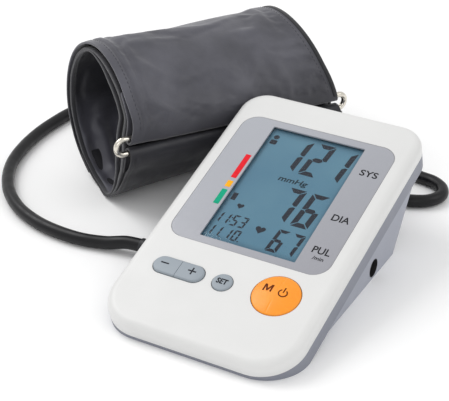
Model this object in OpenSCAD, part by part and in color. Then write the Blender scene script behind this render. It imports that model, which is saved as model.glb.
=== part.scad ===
// Upper arm blood pressure monitor with its cuff and air hose.
// Origin: centre of the monitor's footprint, on the surface it stands on.
// +X runs across the display, +Y runs away from the user, +Z is up.

/* [Monitor] */
// Width of the monitor
case_w = 115; // [112:1:120]
// Length of the monitor, measured along its sloping face
case_l = 189; // [186:1:196]
// Slope of the face
tilt = 16.6; // [16:0.1:17.2]
// Corner radius at the two front corners, seen square to the face
front_corner = 24; // [20:1:26]
// Corner radius at the two rear corners
rear_corner = 16; // [14:1:20]
// Radius of the soft top edge
edge_r = 5; // [4:0.5:6]
// Wall thickness of both shells
wall = 2.2; // [1.8:0.1:2.4]

/* [Display] */
// Width of the clear opening in the display panel
view_w = 58; // [54:1:60]
// Length of the clear opening in the display panel
view_l = 92; // [88:1:94]

/* [Keys] */
// Diameter of the round main key
main_key_d = 26.5; // [24:0.5:27]
// Diameter of the round set key
set_key_d = 11.4; // [10:0.2:12]
// Length of the two-way rocker key
rocker_l = 30.6; // [28:0.2:31]
// Width of the two-way rocker key
rocker_w = 11.6; // [10:0.2:12]

/* [Cuff and hose] */
// Length of the rolled cuff along the arm, at half height
cuff_l = 148; // [140:1:150]
// Half width of the rolled cuff, without its outer flap
cuff_a = 38.2; // [37:0.2:38.4]
// Half height of the rolled cuff, without its outer flap
cuff_b = 45; // [42:0.5:45.5]
// Outer diameter of the air hose
hose_d = 7.8; // [7:0.1:8]

/* [Hidden] */
$fn = 64;
eps = 0.01;
// The front bottom edge of the case lies this far in front of the origin
mid_y = 91;
pad_t = 1;
// Heights along the face normal, from the plane through the front bottom edge
seam_n = 2.2;
seam_gap = 0.2;
face_n = 11.4;
top_h = face_n - seam_n - seam_gap;
band_n = -7.5;
inset = 3.6;
// Underside: the level part ends at the ridge, then the back slope rises
ridge_y = 142;
slope_top_y = 180;
slope_top_z = 52.9;
// Display stack along the face normal
view_v = 116.2;
panel_w = 96.4;
panel_l = 101.6;
panel_corner = 10;
board_n = 0.6;
board_t = 1.6;
lcd_n = 6.9;
// Key places on the face
key_base_n = 7.2;
stem_top_n = 6.1;
rocker_x = -27.1;
rocker_v = 43.5;
rocker_pin_n = 7.2;
set_x = -0.6;
set_v = 43.6;
main_x = 30.2;
main_v = 45.8;
main_pin_n = 7.4;
rocker_switch = 9;
main_switch = 8;
// Case screws: across, along the face
screw_x = [48.5, 46.5];
screw_v = [26, 168];
// Battery bay, in plan
bay_x = 29.2;
bay_y0 = 68;
bay_y1 = 127;
bay_top = 17.7;
bay_wall = 1.5;
cell_d = 14.4;
cell_l = 50.2;
cell_z = 9.8;
cover_x = 31;
cover_y0 = 66;
cover_t = 1.8;
// Air socket in the left wall and power jack in the right wall
socket_y = 70;
socket_z = 7.4;
jack_y = 114;
jack_z = 6.6;
jack_d = 11;
side_x = case_w / 2 - inset;
// Pump across the rear of the case
pump_y = 141;
pump_z = 27;
pump_r = 10.5;
// Cuff: near end centre, heading of its axis, lean of its far end
cuff_x = -131.5;
cuff_y = 30.2;
cuff_turn = 63;
cuff_z = cuff_b + 0.3;
cuff_lean = 16.7;
// Metal ring along the front of the cuff, running slightly downhill to the far end
ring_mid = [70, -(cuff_a + 1.8), 44];
ring_slope = 5.2;
ring_bar = 1.8;
ring_half = 4.8;
ring_from = -76.5;
ring_to = 82;
gland_s = 112;
gland_z = 11;
gland_l = 16;
gland_h = -30.2;
// Route of the hose centreline, from the gland on the cuff to the plug
function cuff_point(s, h, z) = [
    cuff_x + s * cos(cuff_turn) - h * sin(cuff_turn),
    cuff_y + s * sin(cuff_turn) + h * cos(cuff_turn), z];
hose_start = cuff_point(gland_s, gland_h - gland_l, gland_z);
hose_z = 4.1;
plug_tail_x = -71;
hose_route = [
    [-26, 103, 7], [-10, 101, hose_z], [12, 101, hose_z], [32, 103, hose_z],
    [44, 106.5, hose_z], [52, 111.5, hose_z], [56, 120, hose_z], [53.5, 128.5, hose_z],
    [46, 134, hose_z], [35, 136, hose_z], [10, 141, hose_z], [-15, 152, hose_z],
    [-38, 171, hose_z], [-60, 191, hose_z], [-85, 206, hose_z], [-112, 209, hose_z],
    [-138, 194, hose_z], [-162, 164, hose_z], [-185, 134, hose_z], [-203, 109, hose_z],
    [-207, 84, hose_z], [-206, 58, hose_z], [-200, 32, hose_z], [-190, 12, hose_z],
    [-176, -5, hose_z], [-158, -18, hose_z], [-136, -26, hose_z], [-112, -28, hose_z],
    [-94, -25, 4.6], [-81, -22, 7]];
hose_points = concat([hose_start], hose_route, [[plug_tail_x, socket_y - mid_y, socket_z]]);
hose_sides = 10;
hose_steps = 2;

// Smooth curve through a list of points
function spline_at(p, i, t) = let (
        a = p[max(i - 1, 0)], b = p[i], c = p[i + 1], d = p[min(i + 2, len(p) - 1)])
    0.5 * (2 * b + (c - a) * t + (2 * a - 5 * b + 4 * c - d) * t * t
        + (3 * b - a - 3 * c + d) * t * t * t);
function spline(p, steps) = concat(
    [for (i = [0:len(p) - 2], k = [0:steps - 1]) spline_at(p, i, k / steps)],
    [p[len(p) - 1]]);
function unit(v) = v / norm(v);
function heading(c, i) = unit(c[min(i + 1, len(c) - 1)] - c[max(i - 1, 0)]);
function tube_ring(c, dir, r, sides) = let (
        side = unit(cross([0, 0, 1], dir)), up = cross(dir, side))
    [for (k = [0:sides - 1]) let (a = 360 * k / sides) c + r * (cos(a) * side + sin(a) * up)];

// Solid tube swept along a curve, its first and last face square to the given headings
module swept_tube(curve, r, sides, first, last) {
    n = len(curve);
    dirs = [for (i = [0:n - 1]) i == 0 ? first : i == n - 1 ? last : heading(curve, i)];
    points = [for (i = [0:n - 1]) each tube_ring(curve[i], dirs[i], r, sides)];
    walls = [for (i = [0:n - 2], k = [0:sides - 1]) let (m = (k + 1) % sides)
        [i * sides + k, i * sides + m, (i + 1) * sides + m, (i + 1) * sides + k]];
    front = [[for (k = [sides - 1:-1:0]) k]];
    back = [[for (k = [0:sides - 1]) (n - 1) * sides + k]];
    polyhedron(points = points, faces = [for (f = concat(walls, front, back))
        [for (k = [len(f) - 1:-1:0]) f[k]]]);
}

// Places its children in the frame of the sloping face: X across, Y up the slope
module on_face() {
    translate([0, -mid_y, 0]) rotate([tilt, 0, 0]) children();
}

// Places its children in the frame of the case plan, measured from the front edge
module on_plan() {
    translate([0, -mid_y, 0]) children();
}

// Case outline with larger front corners; its front edge lies on Y = start
module case_outline(w, l, rf, rr, start) {
    translate([0, start]) union() {
        translate([-w / 2, rf]) square([w, l - rf - rr]);
        translate([rf - w / 2, 0]) square([w - 2 * rf, l / 2]);
        translate([rr - w / 2, l / 2]) square([w - 2 * rr, l / 2]);
        for (s = [-1, 1]) {
            translate([s * (w / 2 - rf), rf]) circle(rf);
            translate([s * (w / 2 - rr), l - rr]) circle(rr);
        }
    }
}

// Profile of a block with one or both top edges rounded
module soft_profile(w, h, e) {
    union() {
        square([w, h - e]);
        translate([e, 0]) square([w - 2 * e, h]);
        translate([e, h - e]) circle(e);
        translate([w - e, h - e]) circle(e);
    }
}

// Corner of a soft-edged slab
module soft_corner(r, h, e) {
    rotate_extrude() union() {
        square([r, h - e]);
        square([r - e, h]);
        translate([r - e, h - e]) intersection() {
            circle(e);
            square([e, e]);
        }
    }
}

// Slab with the case outline and a rounded top edge
module soft_slab(w, l, rf, rr, h, e, start) {
    translate([0, start, 0]) union() {
        translate([-w / 2, l - rr, 0]) rotate([90, 0, 0])
            linear_extrude(l - rf - rr) soft_profile(w, h, e);
        translate([rf - w / 2, 0, 0]) rotate([90, 0, 90])
            linear_extrude(w - 2 * rf) soft_profile(l, h, e);
        translate([rr - w / 2, l / 2, 0]) rotate([90, 0, 90])
            linear_extrude(w - 2 * rr) translate([-l / 2, 0]) intersection() {
                soft_profile(l, h, e);
                translate([l / 2, 0]) square([l / 2, h]);
            }
        for (s = [-1, 1]) {
            translate([s * (w / 2 - rf), rf, 0]) soft_corner(rf, h, e);
            translate([s * (w / 2 - rr), l - rr, 0]) soft_corner(rr, h, e);
        }
    }
}

// Plate with equal round corners, centred on X and Y
module round_plate(w, l, r, t) {
    linear_extrude(t) union() {
        square([w - 2 * r, l], center = true);
        square([w, l - 2 * r], center = true);
        for (sx = [-1, 1], sy = [-1, 1])
            translate([sx * (w / 2 - r), sy * (l / 2 - r)]) circle(r);
    }
}

// Pill with round ends, centred on X and Y
module pill(l, w, t) {
    linear_extrude(t) union() {
        square([l - w, w], center = true);
        for (s = [-1, 1]) translate([s * (l - w) / 2, 0]) circle(w / 2);
    }
}

module box(x0, x1, y0, y1, z0, z1) {
    translate([x0, y0, z0]) cube([x1 - x0, y1 - y0, z1 - z0]);
}

// Everything above the underside of the case, with a wall's thickness left out
module under_profile(t) {
    rotate([90, 0, 90]) translate([0, 0, -case_w]) linear_extrude(2 * case_w)
        polygon([[-20, t], [ridge_y - 1.05 * t, t],
            [slope_top_y - 1.25 * t, slope_top_z], [slope_top_y - 1.25 * t, 90], [-20, 90]]);
}

module case_solid(t) {
    union() {
        intersection() {
            on_face() translate([0, 0, band_n + t])
                linear_extrude(seam_n - band_n - t + (t > 0 ? 1 : 0))
                    case_outline(case_w - 2 * t, case_l - 2 * t, front_corner - t,
                        rear_corner - t, t);
            box(-case_w, case_w, -2 * mid_y, 3 * mid_y, t, 90);
        }
        intersection() {
            on_face() translate([0, 0, -60])
                linear_extrude(60 + seam_n + (t > 0 ? 1 : 0))
                    case_outline(case_w - 2 * inset - 2 * t, case_l - 2 * inset - 2 * t,
                        front_corner - inset - t, rear_corner - inset - t, inset + t);
            on_plan() under_profile(t);
        }
    }
}

module bay_block() {
    on_plan() box(-bay_x - bay_wall, bay_x + bay_wall, bay_y0 - bay_wall,
        bay_y1 + bay_wall, 1, bay_top + bay_wall);
}

module screw_places() {
    for (i = [0, 1], s = [-1, 1]) translate([s * screw_x[i], screw_v[i], 0]) children();
}

module bottom_case() color([0.47, 0.49, 0.53]) difference() {
    union() {
        difference() {
            case_solid(0);
            case_solid(wall);
        }
        bay_block();
        intersection() {
            case_solid(0);
            on_face() screw_places() translate([0, 0, -40]) cylinder(d = 7, h = 40 + seam_n);
        }
        // Cup behind the power jack opening
        on_plan() translate([side_x - 4.6, jack_y, jack_z]) rotate([0, 90, 0])
            cylinder(d = jack_d + 2, h = 3.6);
    }
    on_plan() {
        // Cells drop in from below, the cover closes the opening
        box(-bay_x, bay_x, bay_y0, bay_y1, -1, bay_top);
        box(-cover_x - 0.2, cover_x + 0.2, cover_y0 - 0.2, ridge_y + 5, -1, cover_t + 0.1);
        translate([-side_x - 5, socket_y, socket_z]) rotate([0, 90, 0])
            cylinder(d = 7.8, h = 12);
        translate([side_x - 3.4, jack_y, jack_z]) rotate([0, 90, 0])
            cylinder(d = jack_d, h = 10);
        translate([side_x - 10, jack_y, jack_z]) rotate([0, 90, 0])
            cylinder(d = 8.1, h = 12);
        for (s = [-1, 1], y = [30, 132]) translate([s * 42, y, -1])
            cylinder(d = 9.1, h = 1 + pad_t + 0.05);
    }
    on_face() screw_places() {
        translate([0, 0, -60]) cylinder(d = 6.2, h = 60 - 1.6);
        translate([0, 0, -5]) cylinder(d = 3.2, h = 10);
    }
}

module key_lugs(x, v, reach, pin_n, pin_d, drop) {
    for (s = [-1, 1]) difference() {
        translate([x - 2.2, v + s * reach - 1.1, pin_n - drop])
            cube([4.4, 2.2, face_n - wall - pin_n + drop + 0.4]);
        translate([x, v + s * reach - 3, pin_n]) rotate([-90, 0, 0])
            cylinder(d = pin_d + 0.1, h = 6);
    }
}

module top_case() color([0.93, 0.93, 0.92]) on_face() difference() {
    union() {
        difference() {
            translate([0, 0, face_n - top_h])
                soft_slab(case_w, case_l, front_corner, rear_corner, top_h, edge_r, 0);
            translate([0, 0, face_n - top_h - 1])
                soft_slab(case_w - 2 * wall, case_l - 2 * wall, front_corner - wall,
                    rear_corner - wall, top_h + 1 - wall, edge_r - wall, wall);
        }
        key_lugs(rocker_x, rocker_v, 8.3, rocker_pin_n, 2, 1.8);
        key_lugs(main_x, main_v, 16.3, main_pin_n, 2.4, 2);
        screw_places() translate([0, 0, seam_n + seam_gap])
            cylinder(d = 6.6, h = face_n - wall - seam_n);
    }
    translate([0, view_v, face_n - 1.2])
        round_plate(panel_w + 0.5, panel_l + 0.5, panel_corner + 0.2, 5);
    translate([0, view_v, 5]) round_plate(view_w + 4, view_l + 4, 1, 10);
    translate([rocker_x, rocker_v, 9]) pill(rocker_l + 0.8, rocker_w + 0.8, 5);
    translate([set_x, set_v, 9]) cylinder(d = set_key_d + 0.7, h = 5);
    translate([main_x, main_v, 9]) cylinder(d = main_key_d + 0.8, h = 5);
    screw_places() cylinder(d = 2.5, h = 9);
}

module display_panel() color([0.72, 0.72, 0.75]) on_face()
    translate([0, view_v, face_n - 1.1]) difference() {
        round_plate(panel_w, panel_l, panel_corner, 1);
        translate([0, 0, -1]) round_plate(view_w, view_l, 0.6, 3);
    }

module display_window() color([0.80, 0.88, 0.92, 0.4]) on_face()
    translate([0, view_v, face_n - 2.1]) round_plate(view_w + 3.6, view_l + 3.6, 0.9, 0.9);

module lcd_glass() color([0.42, 0.55, 0.62]) on_face()
    translate([0, view_v, lcd_n]) round_plate(view_w + 4.4, view_l + 4.4, 0.5, 2.2);

module lcd_backlight() color([0.85, 0.93, 0.95]) on_face()
    translate([0, view_v, 4.4]) round_plate(view_w - 3, view_l + 2, 0.8, 2.4);

module lcd_frame() color([0.90, 0.90, 0.88]) on_face()
    translate([0, view_v, board_n + board_t + 0.1]) difference() {
        round_plate(view_w + 9, view_l + 9, 2, 6.6);
        translate([0, 0, -1]) round_plate(view_w + 4.8, view_l + 4.8, 0.6, 9);
    }

module lcd_contact_strips() color([0.85, 0.45, 0.50]) on_face()
    for (s = [-1, 1]) translate([s * (view_w / 2 + 1), view_v, board_n + board_t + 0.1])
        round_plate(2, view_l - 4, 0.4, lcd_n - board_n - board_t - 0.2);

module main_board() color([0.10, 0.38, 0.22]) on_face()
    translate([0, 100, board_n]) difference() {
        round_plate(84, 140, 2, board_t);
        for (sx = [-1, 1], sy = [-1, 1]) translate([sx * 38, sy * 66, -1])
            cylinder(d = 3.2, h = 4);
    }

module control_chip() color([0.08, 0.08, 0.09]) on_face()
    translate([-14, 50, board_n - 1.7]) round_plate(14, 14, 0.5, 1.6);

module switch_at(x, v) {
    translate([x, v, board_n + board_t + 0.05]) {
        round_plate(6, 6, 0.5, 3.4);
        cylinder(d = 3.4, h = stem_top_n - board_n - board_t - 0.05);
    }
}

module key_switches() color([0.15, 0.15, 0.16]) on_face() {
    for (s = [-1, 1]) switch_at(rocker_x + s * rocker_switch, rocker_v);
    switch_at(set_x, set_v);
    for (s = [-1, 1]) switch_at(main_x + s * main_switch, main_v);
}

module buzzer() color([0.12, 0.12, 0.12]) on_face()
    translate([22, 54, board_n - 5.1]) cylinder(d = 12, h = 5);

module pressure_sensor() color([0.80, 0.80, 0.78]) on_face()
    translate([-37, 76, board_n - 0.1]) mirror([0, 0, 1]) {
        translate([0, 0, 2.5]) cube([9, 9, 5], center = true);
        cylinder(d = 3.4, h = 7.4);
    }

module key_flange_and_pin(reach, pin_n, pin_d) {
    translate([0, -reach - 0.9, pin_n]) rotate([-90, 0, 0])
        cylinder(d = pin_d, h = 2 * reach + 1.8);
}

module rocker_key() color([0.56, 0.59, 0.63]) on_face()
    translate([rocker_x, rocker_v, 0]) {
        translate([0, 0, key_base_n]) pill(rocker_l, rocker_w, 5.4);
        translate([0, 0, key_base_n - 0.6]) pill(rocker_l + 2.4, rocker_w + 2, 1.4);
        key_flange_and_pin(8.3, rocker_pin_n, 2);
    }

module set_key() color([0.56, 0.59, 0.63]) on_face() translate([set_x, set_v, 0]) {
    translate([0, 0, key_base_n]) cylinder(d = set_key_d, h = 5.3);
    translate([0, 0, key_base_n - 0.3]) cylinder(d = set_key_d + 2, h = 1.1);
}

// Shallow dome over a short cylinder
module domed_cap(d, side_h, dome_h) {
    sphere_r = (d * d / 4 + dome_h * dome_h) / (2 * dome_h);
    rotate_extrude($fn = 96) intersection() {
        square([d / 2, side_h + dome_h]);
        translate([0, side_h + dome_h - sphere_r]) circle(sphere_r, $fn = 240);
    }
}

module main_key() color([0.98, 0.60, 0.13]) on_face() translate([main_x, main_v, 0]) {
    translate([0, 0, key_base_n]) domed_cap(main_key_d, 4.6, 2);
    translate([0, 0, key_base_n - 0.6]) cylinder(d = main_key_d + 2, h = 1.2);
    key_flange_and_pin(16.3, main_pin_n, 2.4);
}

module battery_cover() color([0.45, 0.47, 0.51]) on_plan() difference() {
    box(-cover_x, cover_x, cover_y0, ridge_y - 0.4, 0, cover_t);
    for (i = [0:4]) box(-11, 11, 128 + 2.4 * i, 129.2 + 2.4 * i, -1, 0.5);
}

module batteries() color([0.75, 0.62, 0.30]) on_plan()
    for (i = [0:3]) translate([0, bay_y0 + 7.4 + 14.75 * i, cell_z])
        rotate([0, i % 2 == 0 ? 90 : -90, 0]) {
            translate([0, 0, -cell_l / 2 + 0.5]) cylinder(d = cell_d, h = cell_l - 1.6);
            translate([0, 0, cell_l / 2 - 1.1]) cylinder(d = 5.4, h = 1.1);
        }

module battery_springs() color([0.80, 0.80, 0.78]) on_plan()
    for (i = [0:3]) translate([0, bay_y0 + 7.4 + 14.75 * i, cell_z])
        rotate([0, i % 2 == 0 ? -90 : 90, 0]) translate([0, 0, cell_l / 2 - 0.4])
            cylinder(d1 = 6, d2 = 9, h = 3.1);

module battery_plates() color([0.82, 0.82, 0.80]) on_plan()
    for (s = [-1, 1], i = [0:1]) translate([s * (bay_x - 0.45), bay_y0 + 14.8 + 29.4 * i, cell_z])
        cube([0.6, 26, 11], center = true);

module rubber_feet() color([0.10, 0.10, 0.11]) on_plan()
    for (s = [-1, 1], y = [30, 132]) translate([s * 42, y, 0])
        cylinder(d = 9, h = pad_t);

module case_screws() color([0.70, 0.70, 0.72]) on_face() screw_places() {
    translate([0, 0, -3.6]) cylinder(d = 5.6, h = 1.9);
    translate([0, 0, -3]) cylinder(d = 2.4, h = 10.6);
}

module dc_jack() color([0.07, 0.07, 0.08]) on_plan()
    translate([side_x, jack_y, jack_z]) rotate([0, -90, 0]) {
        difference() {
            translate([0, 0, 3.6]) cylinder(d = 8, h = 10.4);
            translate([0, 0, 3]) cylinder(d = 5.6, h = 9);
        }
        translate([0, 0, 4.5]) cylinder(d = 2, h = 8);
    }

module air_socket() color([0.35, 0.36, 0.39]) on_plan()
    translate([-side_x - 0.9, socket_y, socket_z]) rotate([0, 90, 0]) difference() {
        union() {
            cylinder(d = 9.4, h = 0.9);
            cylinder(d = 7.7, h = 12);
        }
        translate([0, 0, -1]) cylinder(d = 5.1, h = 11);
    }

module air_manifold() color([0.85, 0.85, 0.83]) on_plan() {
    box(-42.6, -35, socket_y - 5, socket_y + 5, 3.4, 12.4);
    translate([-38.8, socket_y + 4.9, 9.4]) rotate([-90, 0, 0]) cylinder(d = 4, h = 3.1);
    translate([-39, socket_y - 4.9, 7.5]) rotate([90, 0, 0]) cylinder(d = 4, h = 2.4);
}

module release_valve() color([0.60, 0.61, 0.62]) on_plan() {
    box(-46, -33.5, 88, 106, 3.2, 15.2);
    translate([-38.8, 88.1, 9.4]) rotate([90, 0, 0]) cylinder(d = 4, h = 3);
}

module valve_tube() color([0.88, 0.88, 0.84]) on_plan()
    translate([-38.8, socket_y + 8.1, 9.4]) rotate([-90, 0, 0]) cylinder(d = 5, h = 6.9);

module pump_tube() color([0.88, 0.88, 0.84]) on_plan() {
    route = [[-39, 62.6, 7.5], [-39, 58, 7.5], [-42, 54.5, 8.5], [-47, 56, 11.5],
        [-49, 63, 15], [-49, 76, 16.5], [-49, 90, 20], [-48.5, 112, 24],
        [-46, 130, 26], [-41, 139, 27], [-36, 141, 27]];
    swept_tube(spline(route, 2), 2.2, 8, [0, -1, 0], [1, 0, 0]);
}

module pump_motor() color([0.74, 0.75, 0.77]) on_plan()
    translate([2, pump_y, pump_z]) rotate([0, 90, 0]) {
        cylinder(r = pump_r, h = 27);
        cylinder(d = 6, h = 29);
    }

module pump_head() color([0.88, 0.88, 0.86]) on_plan()
    translate([1.9, pump_y, pump_z]) rotate([0, -90, 0]) {
        cylinder(r = pump_r, h = 26);
        cylinder(d = 4.4, h = 37.8);
    }

module pump_sleeve() color([0.16, 0.16, 0.17]) on_plan()
    translate([-18, pump_y, pump_z]) rotate([0, 90, 0]) difference() {
        cylinder(r = pump_r + 1.9, h = 42);
        translate([0, 0, -1]) cylinder(r = pump_r + 0.02, h = 44);
    }

module air_plug() color([0.13, 0.13, 0.14]) on_plan()
    translate([0, socket_y, socket_z]) rotate([0, 90, 0]) {
        translate([0, 0, plug_tail_x]) cylinder(d = 9, h = 5);
        translate([0, 0, plug_tail_x + 5]) cylinder(d = 10, h = 10.8);
        translate([0, 0, -side_x - 2]) cylinder(d = 5, h = 9.4);
    }

module hose() color([0.08, 0.08, 0.09]) {
    curve = spline(hose_points, hose_steps);
    first = unit(cuff_point(0, -1, 0) - cuff_point(0, 0, 0));
    swept_tube(curve, hose_d / 2, hose_sides, first, [1, 0, 0]);
}

// Places its children in the frame of the cuff: X along the arm, Y to its back, Z up
module on_cuff() {
    translate([cuff_x, cuff_y, 0]) rotate([0, 0, cuff_turn]) children();
}

// Stretch of a fabric layer, from angle a0 to a1 round the cuff, cut at the far end
module cuff_layer(inner, outer, a0, a1, from, margin) {
    steps = ceil((a1 - a0) / 6);
    rim = function (grow, i) let (a = a0 + (a1 - a0) * i / steps)
        [(cuff_a + grow) * cos(a), cuff_z + (cuff_b + grow) * sin(a)];
    difference() {
        translate([from, 0, 0]) rotate([90, 0, 90]) linear_extrude(cuff_l + 20)
            polygon(concat([for (i = [0:steps]) rim(outer, i)],
                [for (i = [steps:-1:0]) rim(inner, i)]));
        translate([cuff_l - margin, 0, cuff_z]) rotate([0, -cuff_lean, 0])
            translate([0, -100, -100]) cube(200);
    }
}

// Places its children on the metal ring: X along it, Y to the back of the cuff
module on_ring() {
    translate([ring_mid[0], 0, ring_mid[2]]) rotate([0, ring_slope, 0])
        translate([0, ring_mid[1], 0]) children();
}

// Clear band along the ring, between two heights
module ring_slot(z0, z1) {
    on_ring() box(-110, 110, -15, 15, z0, z1);
}

module hose_gland() color([0.10, 0.10, 0.11]) on_cuff()
    translate([gland_s, gland_h, gland_z]) rotate([90, 0, 0]) {
        cylinder(d = 10.4, h = 8);
        cylinder(d = 9, h = gland_l);
    }

module cuff_cover() color([0.22, 0.22, 0.24]) on_cuff() difference() {
    cuff_layer(-1.2, 0, -150, 210 - eps, 0, 0);
    ring_slot(-8.4, 8.6);
}

module cuff_lining() color([0.13, 0.13, 0.14]) on_cuff()
    cuff_layer(-5.5, -4.3, -166, 170, 0, 0);

module cuff_bladder() color([0.30, 0.30, 0.32]) on_cuff()
    cuff_layer(-4, -1.5, -150, 60, 6, 6);

module fastening_patch() color([0.09, 0.09, 0.10]) on_cuff()
    cuff_layer(0.3, 1.1, -44, 60, 4, 4);

module cuff_flap() color([0.27, 0.27, 0.29]) on_cuff() difference() {
    union() {
        difference() {
            cuff_layer(1.4, 3.4, -50, 186, 0, 0);
            ring_slot(-30, ring_half);
        }
        on_ring() translate([-66, 0, ring_half]) rotate([0, 90, 0])
            cylinder(r = ring_bar + 1.6, h = 136);
    }
    on_ring() translate([-90, 0, ring_half]) rotate([0, 90, 0])
        cylinder(r = ring_bar + 0.6, h = 200);
}

module ring_sleeve() color([0.20, 0.20, 0.22]) on_cuff() on_ring()
    translate([-66, 0, -ring_half]) rotate([0, 90, 0]) difference() {
        cylinder(r = ring_bar + 1.4, h = 138);
        translate([0, 0, -1]) cylinder(r = ring_bar + 0.1, h = 140);
    }

module d_ring() color([0.80, 0.79, 0.76]) on_cuff() on_ring() {
    for (s = [-1, 1]) translate([ring_from, 0, s * ring_half]) rotate([0, 90, 0])
        cylinder(r = ring_bar, h = ring_to - ring_from);
    translate([ring_to, 0, 0]) ring_end();
    translate([ring_from, 0, 0]) mirror([1, 0, 0]) ring_end();
}

// Half turn of the ring's bar, bulging towards X
module ring_end() {
    rotate([90, 0, 0]) rotate_extrude(angle = 180, start = -90)
        translate([ring_half, 0]) circle(ring_bar);
}

bottom_case();
top_case();
display_panel();
display_window();
lcd_glass();
lcd_backlight();
lcd_frame();
lcd_contact_strips();
main_board();
control_chip();
key_switches();
buzzer();
pressure_sensor();
rocker_key();
set_key();
main_key();
battery_cover();
batteries();
battery_springs();
battery_plates();
rubber_feet();
case_screws();
dc_jack();
air_socket();
air_manifold();
release_valve();
valve_tube();
pump_tube();
pump_motor();
pump_head();
pump_sleeve();
air_plug();
hose();
hose_gland();
cuff_cover();
cuff_lining();
cuff_bladder();
cuff_flap();
fastening_patch();
ring_sleeve();
d_ring();
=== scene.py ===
"""Looks of an upper arm blood pressure monitor with its rolled cuff and air hose.

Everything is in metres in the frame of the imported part. Sizes are named in
millimetres where the part's source has them, and MM turns them into metres.
"""

import math
from contextlib import contextmanager

import bpy
import numpy as np
from mathutils import Matrix, Vector, noise
from mathutils.bvhtree import BVHTree


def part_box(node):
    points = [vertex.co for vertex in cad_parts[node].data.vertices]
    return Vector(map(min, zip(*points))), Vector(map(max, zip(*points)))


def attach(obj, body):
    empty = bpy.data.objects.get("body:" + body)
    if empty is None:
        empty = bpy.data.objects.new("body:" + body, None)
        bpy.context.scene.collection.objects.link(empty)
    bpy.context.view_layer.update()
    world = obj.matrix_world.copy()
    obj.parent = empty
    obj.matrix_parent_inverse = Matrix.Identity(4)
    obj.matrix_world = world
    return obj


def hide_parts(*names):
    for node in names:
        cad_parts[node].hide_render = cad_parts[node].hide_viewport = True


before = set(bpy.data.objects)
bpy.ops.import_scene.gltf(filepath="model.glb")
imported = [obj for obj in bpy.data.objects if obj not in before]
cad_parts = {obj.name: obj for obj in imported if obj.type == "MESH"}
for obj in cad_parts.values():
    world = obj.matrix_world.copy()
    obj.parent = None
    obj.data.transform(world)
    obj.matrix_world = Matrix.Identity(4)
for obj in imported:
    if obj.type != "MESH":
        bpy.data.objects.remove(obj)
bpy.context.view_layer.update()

MM = 0.001
DOUBLES = 0.002 * MM

# ---------------------------------------------------------------- view

VIEW_AZIMUTH = math.radians(29.03)
VIEW_ELEVATION = math.radians(30.6)
VIEW_PLACE = (0.2920, -0.5773, 0.4291)
VIEW_LENS = 110.19
VIEW_SENSOR = 36


def add_camera():
    data = bpy.data.cameras.new("view")
    data.lens = VIEW_LENS
    data.sensor_width = VIEW_SENSOR
    camera = new_object("view", data)
    flat = math.cos(VIEW_ELEVATION)
    back = Vector((
        math.sin(VIEW_AZIMUTH) * flat,
        -math.cos(VIEW_AZIMUTH) * flat,
        math.sin(VIEW_ELEVATION),
    ))
    camera.location = VIEW_PLACE
    camera.rotation_euler = (-back).to_track_quat("-Z", "Y").to_euler()
    bpy.context.scene.camera = camera


# ---------------------------------------------------------------- material kit


def srgb(red, green, blue):
    """Linear colour of an 8-bit display colour."""
    parts = []
    for value in (red, green, blue):
        c = value / 255
        parts.append(c / 12.92 if c <= 0.04045 else ((c + 0.055) / 1.055) ** 2.4)
    return (*parts, 1.0)


WAVE_PERIODS = 20
COVER_THREAD = 0.00042
TAPE_THREAD = 0.00055


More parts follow.
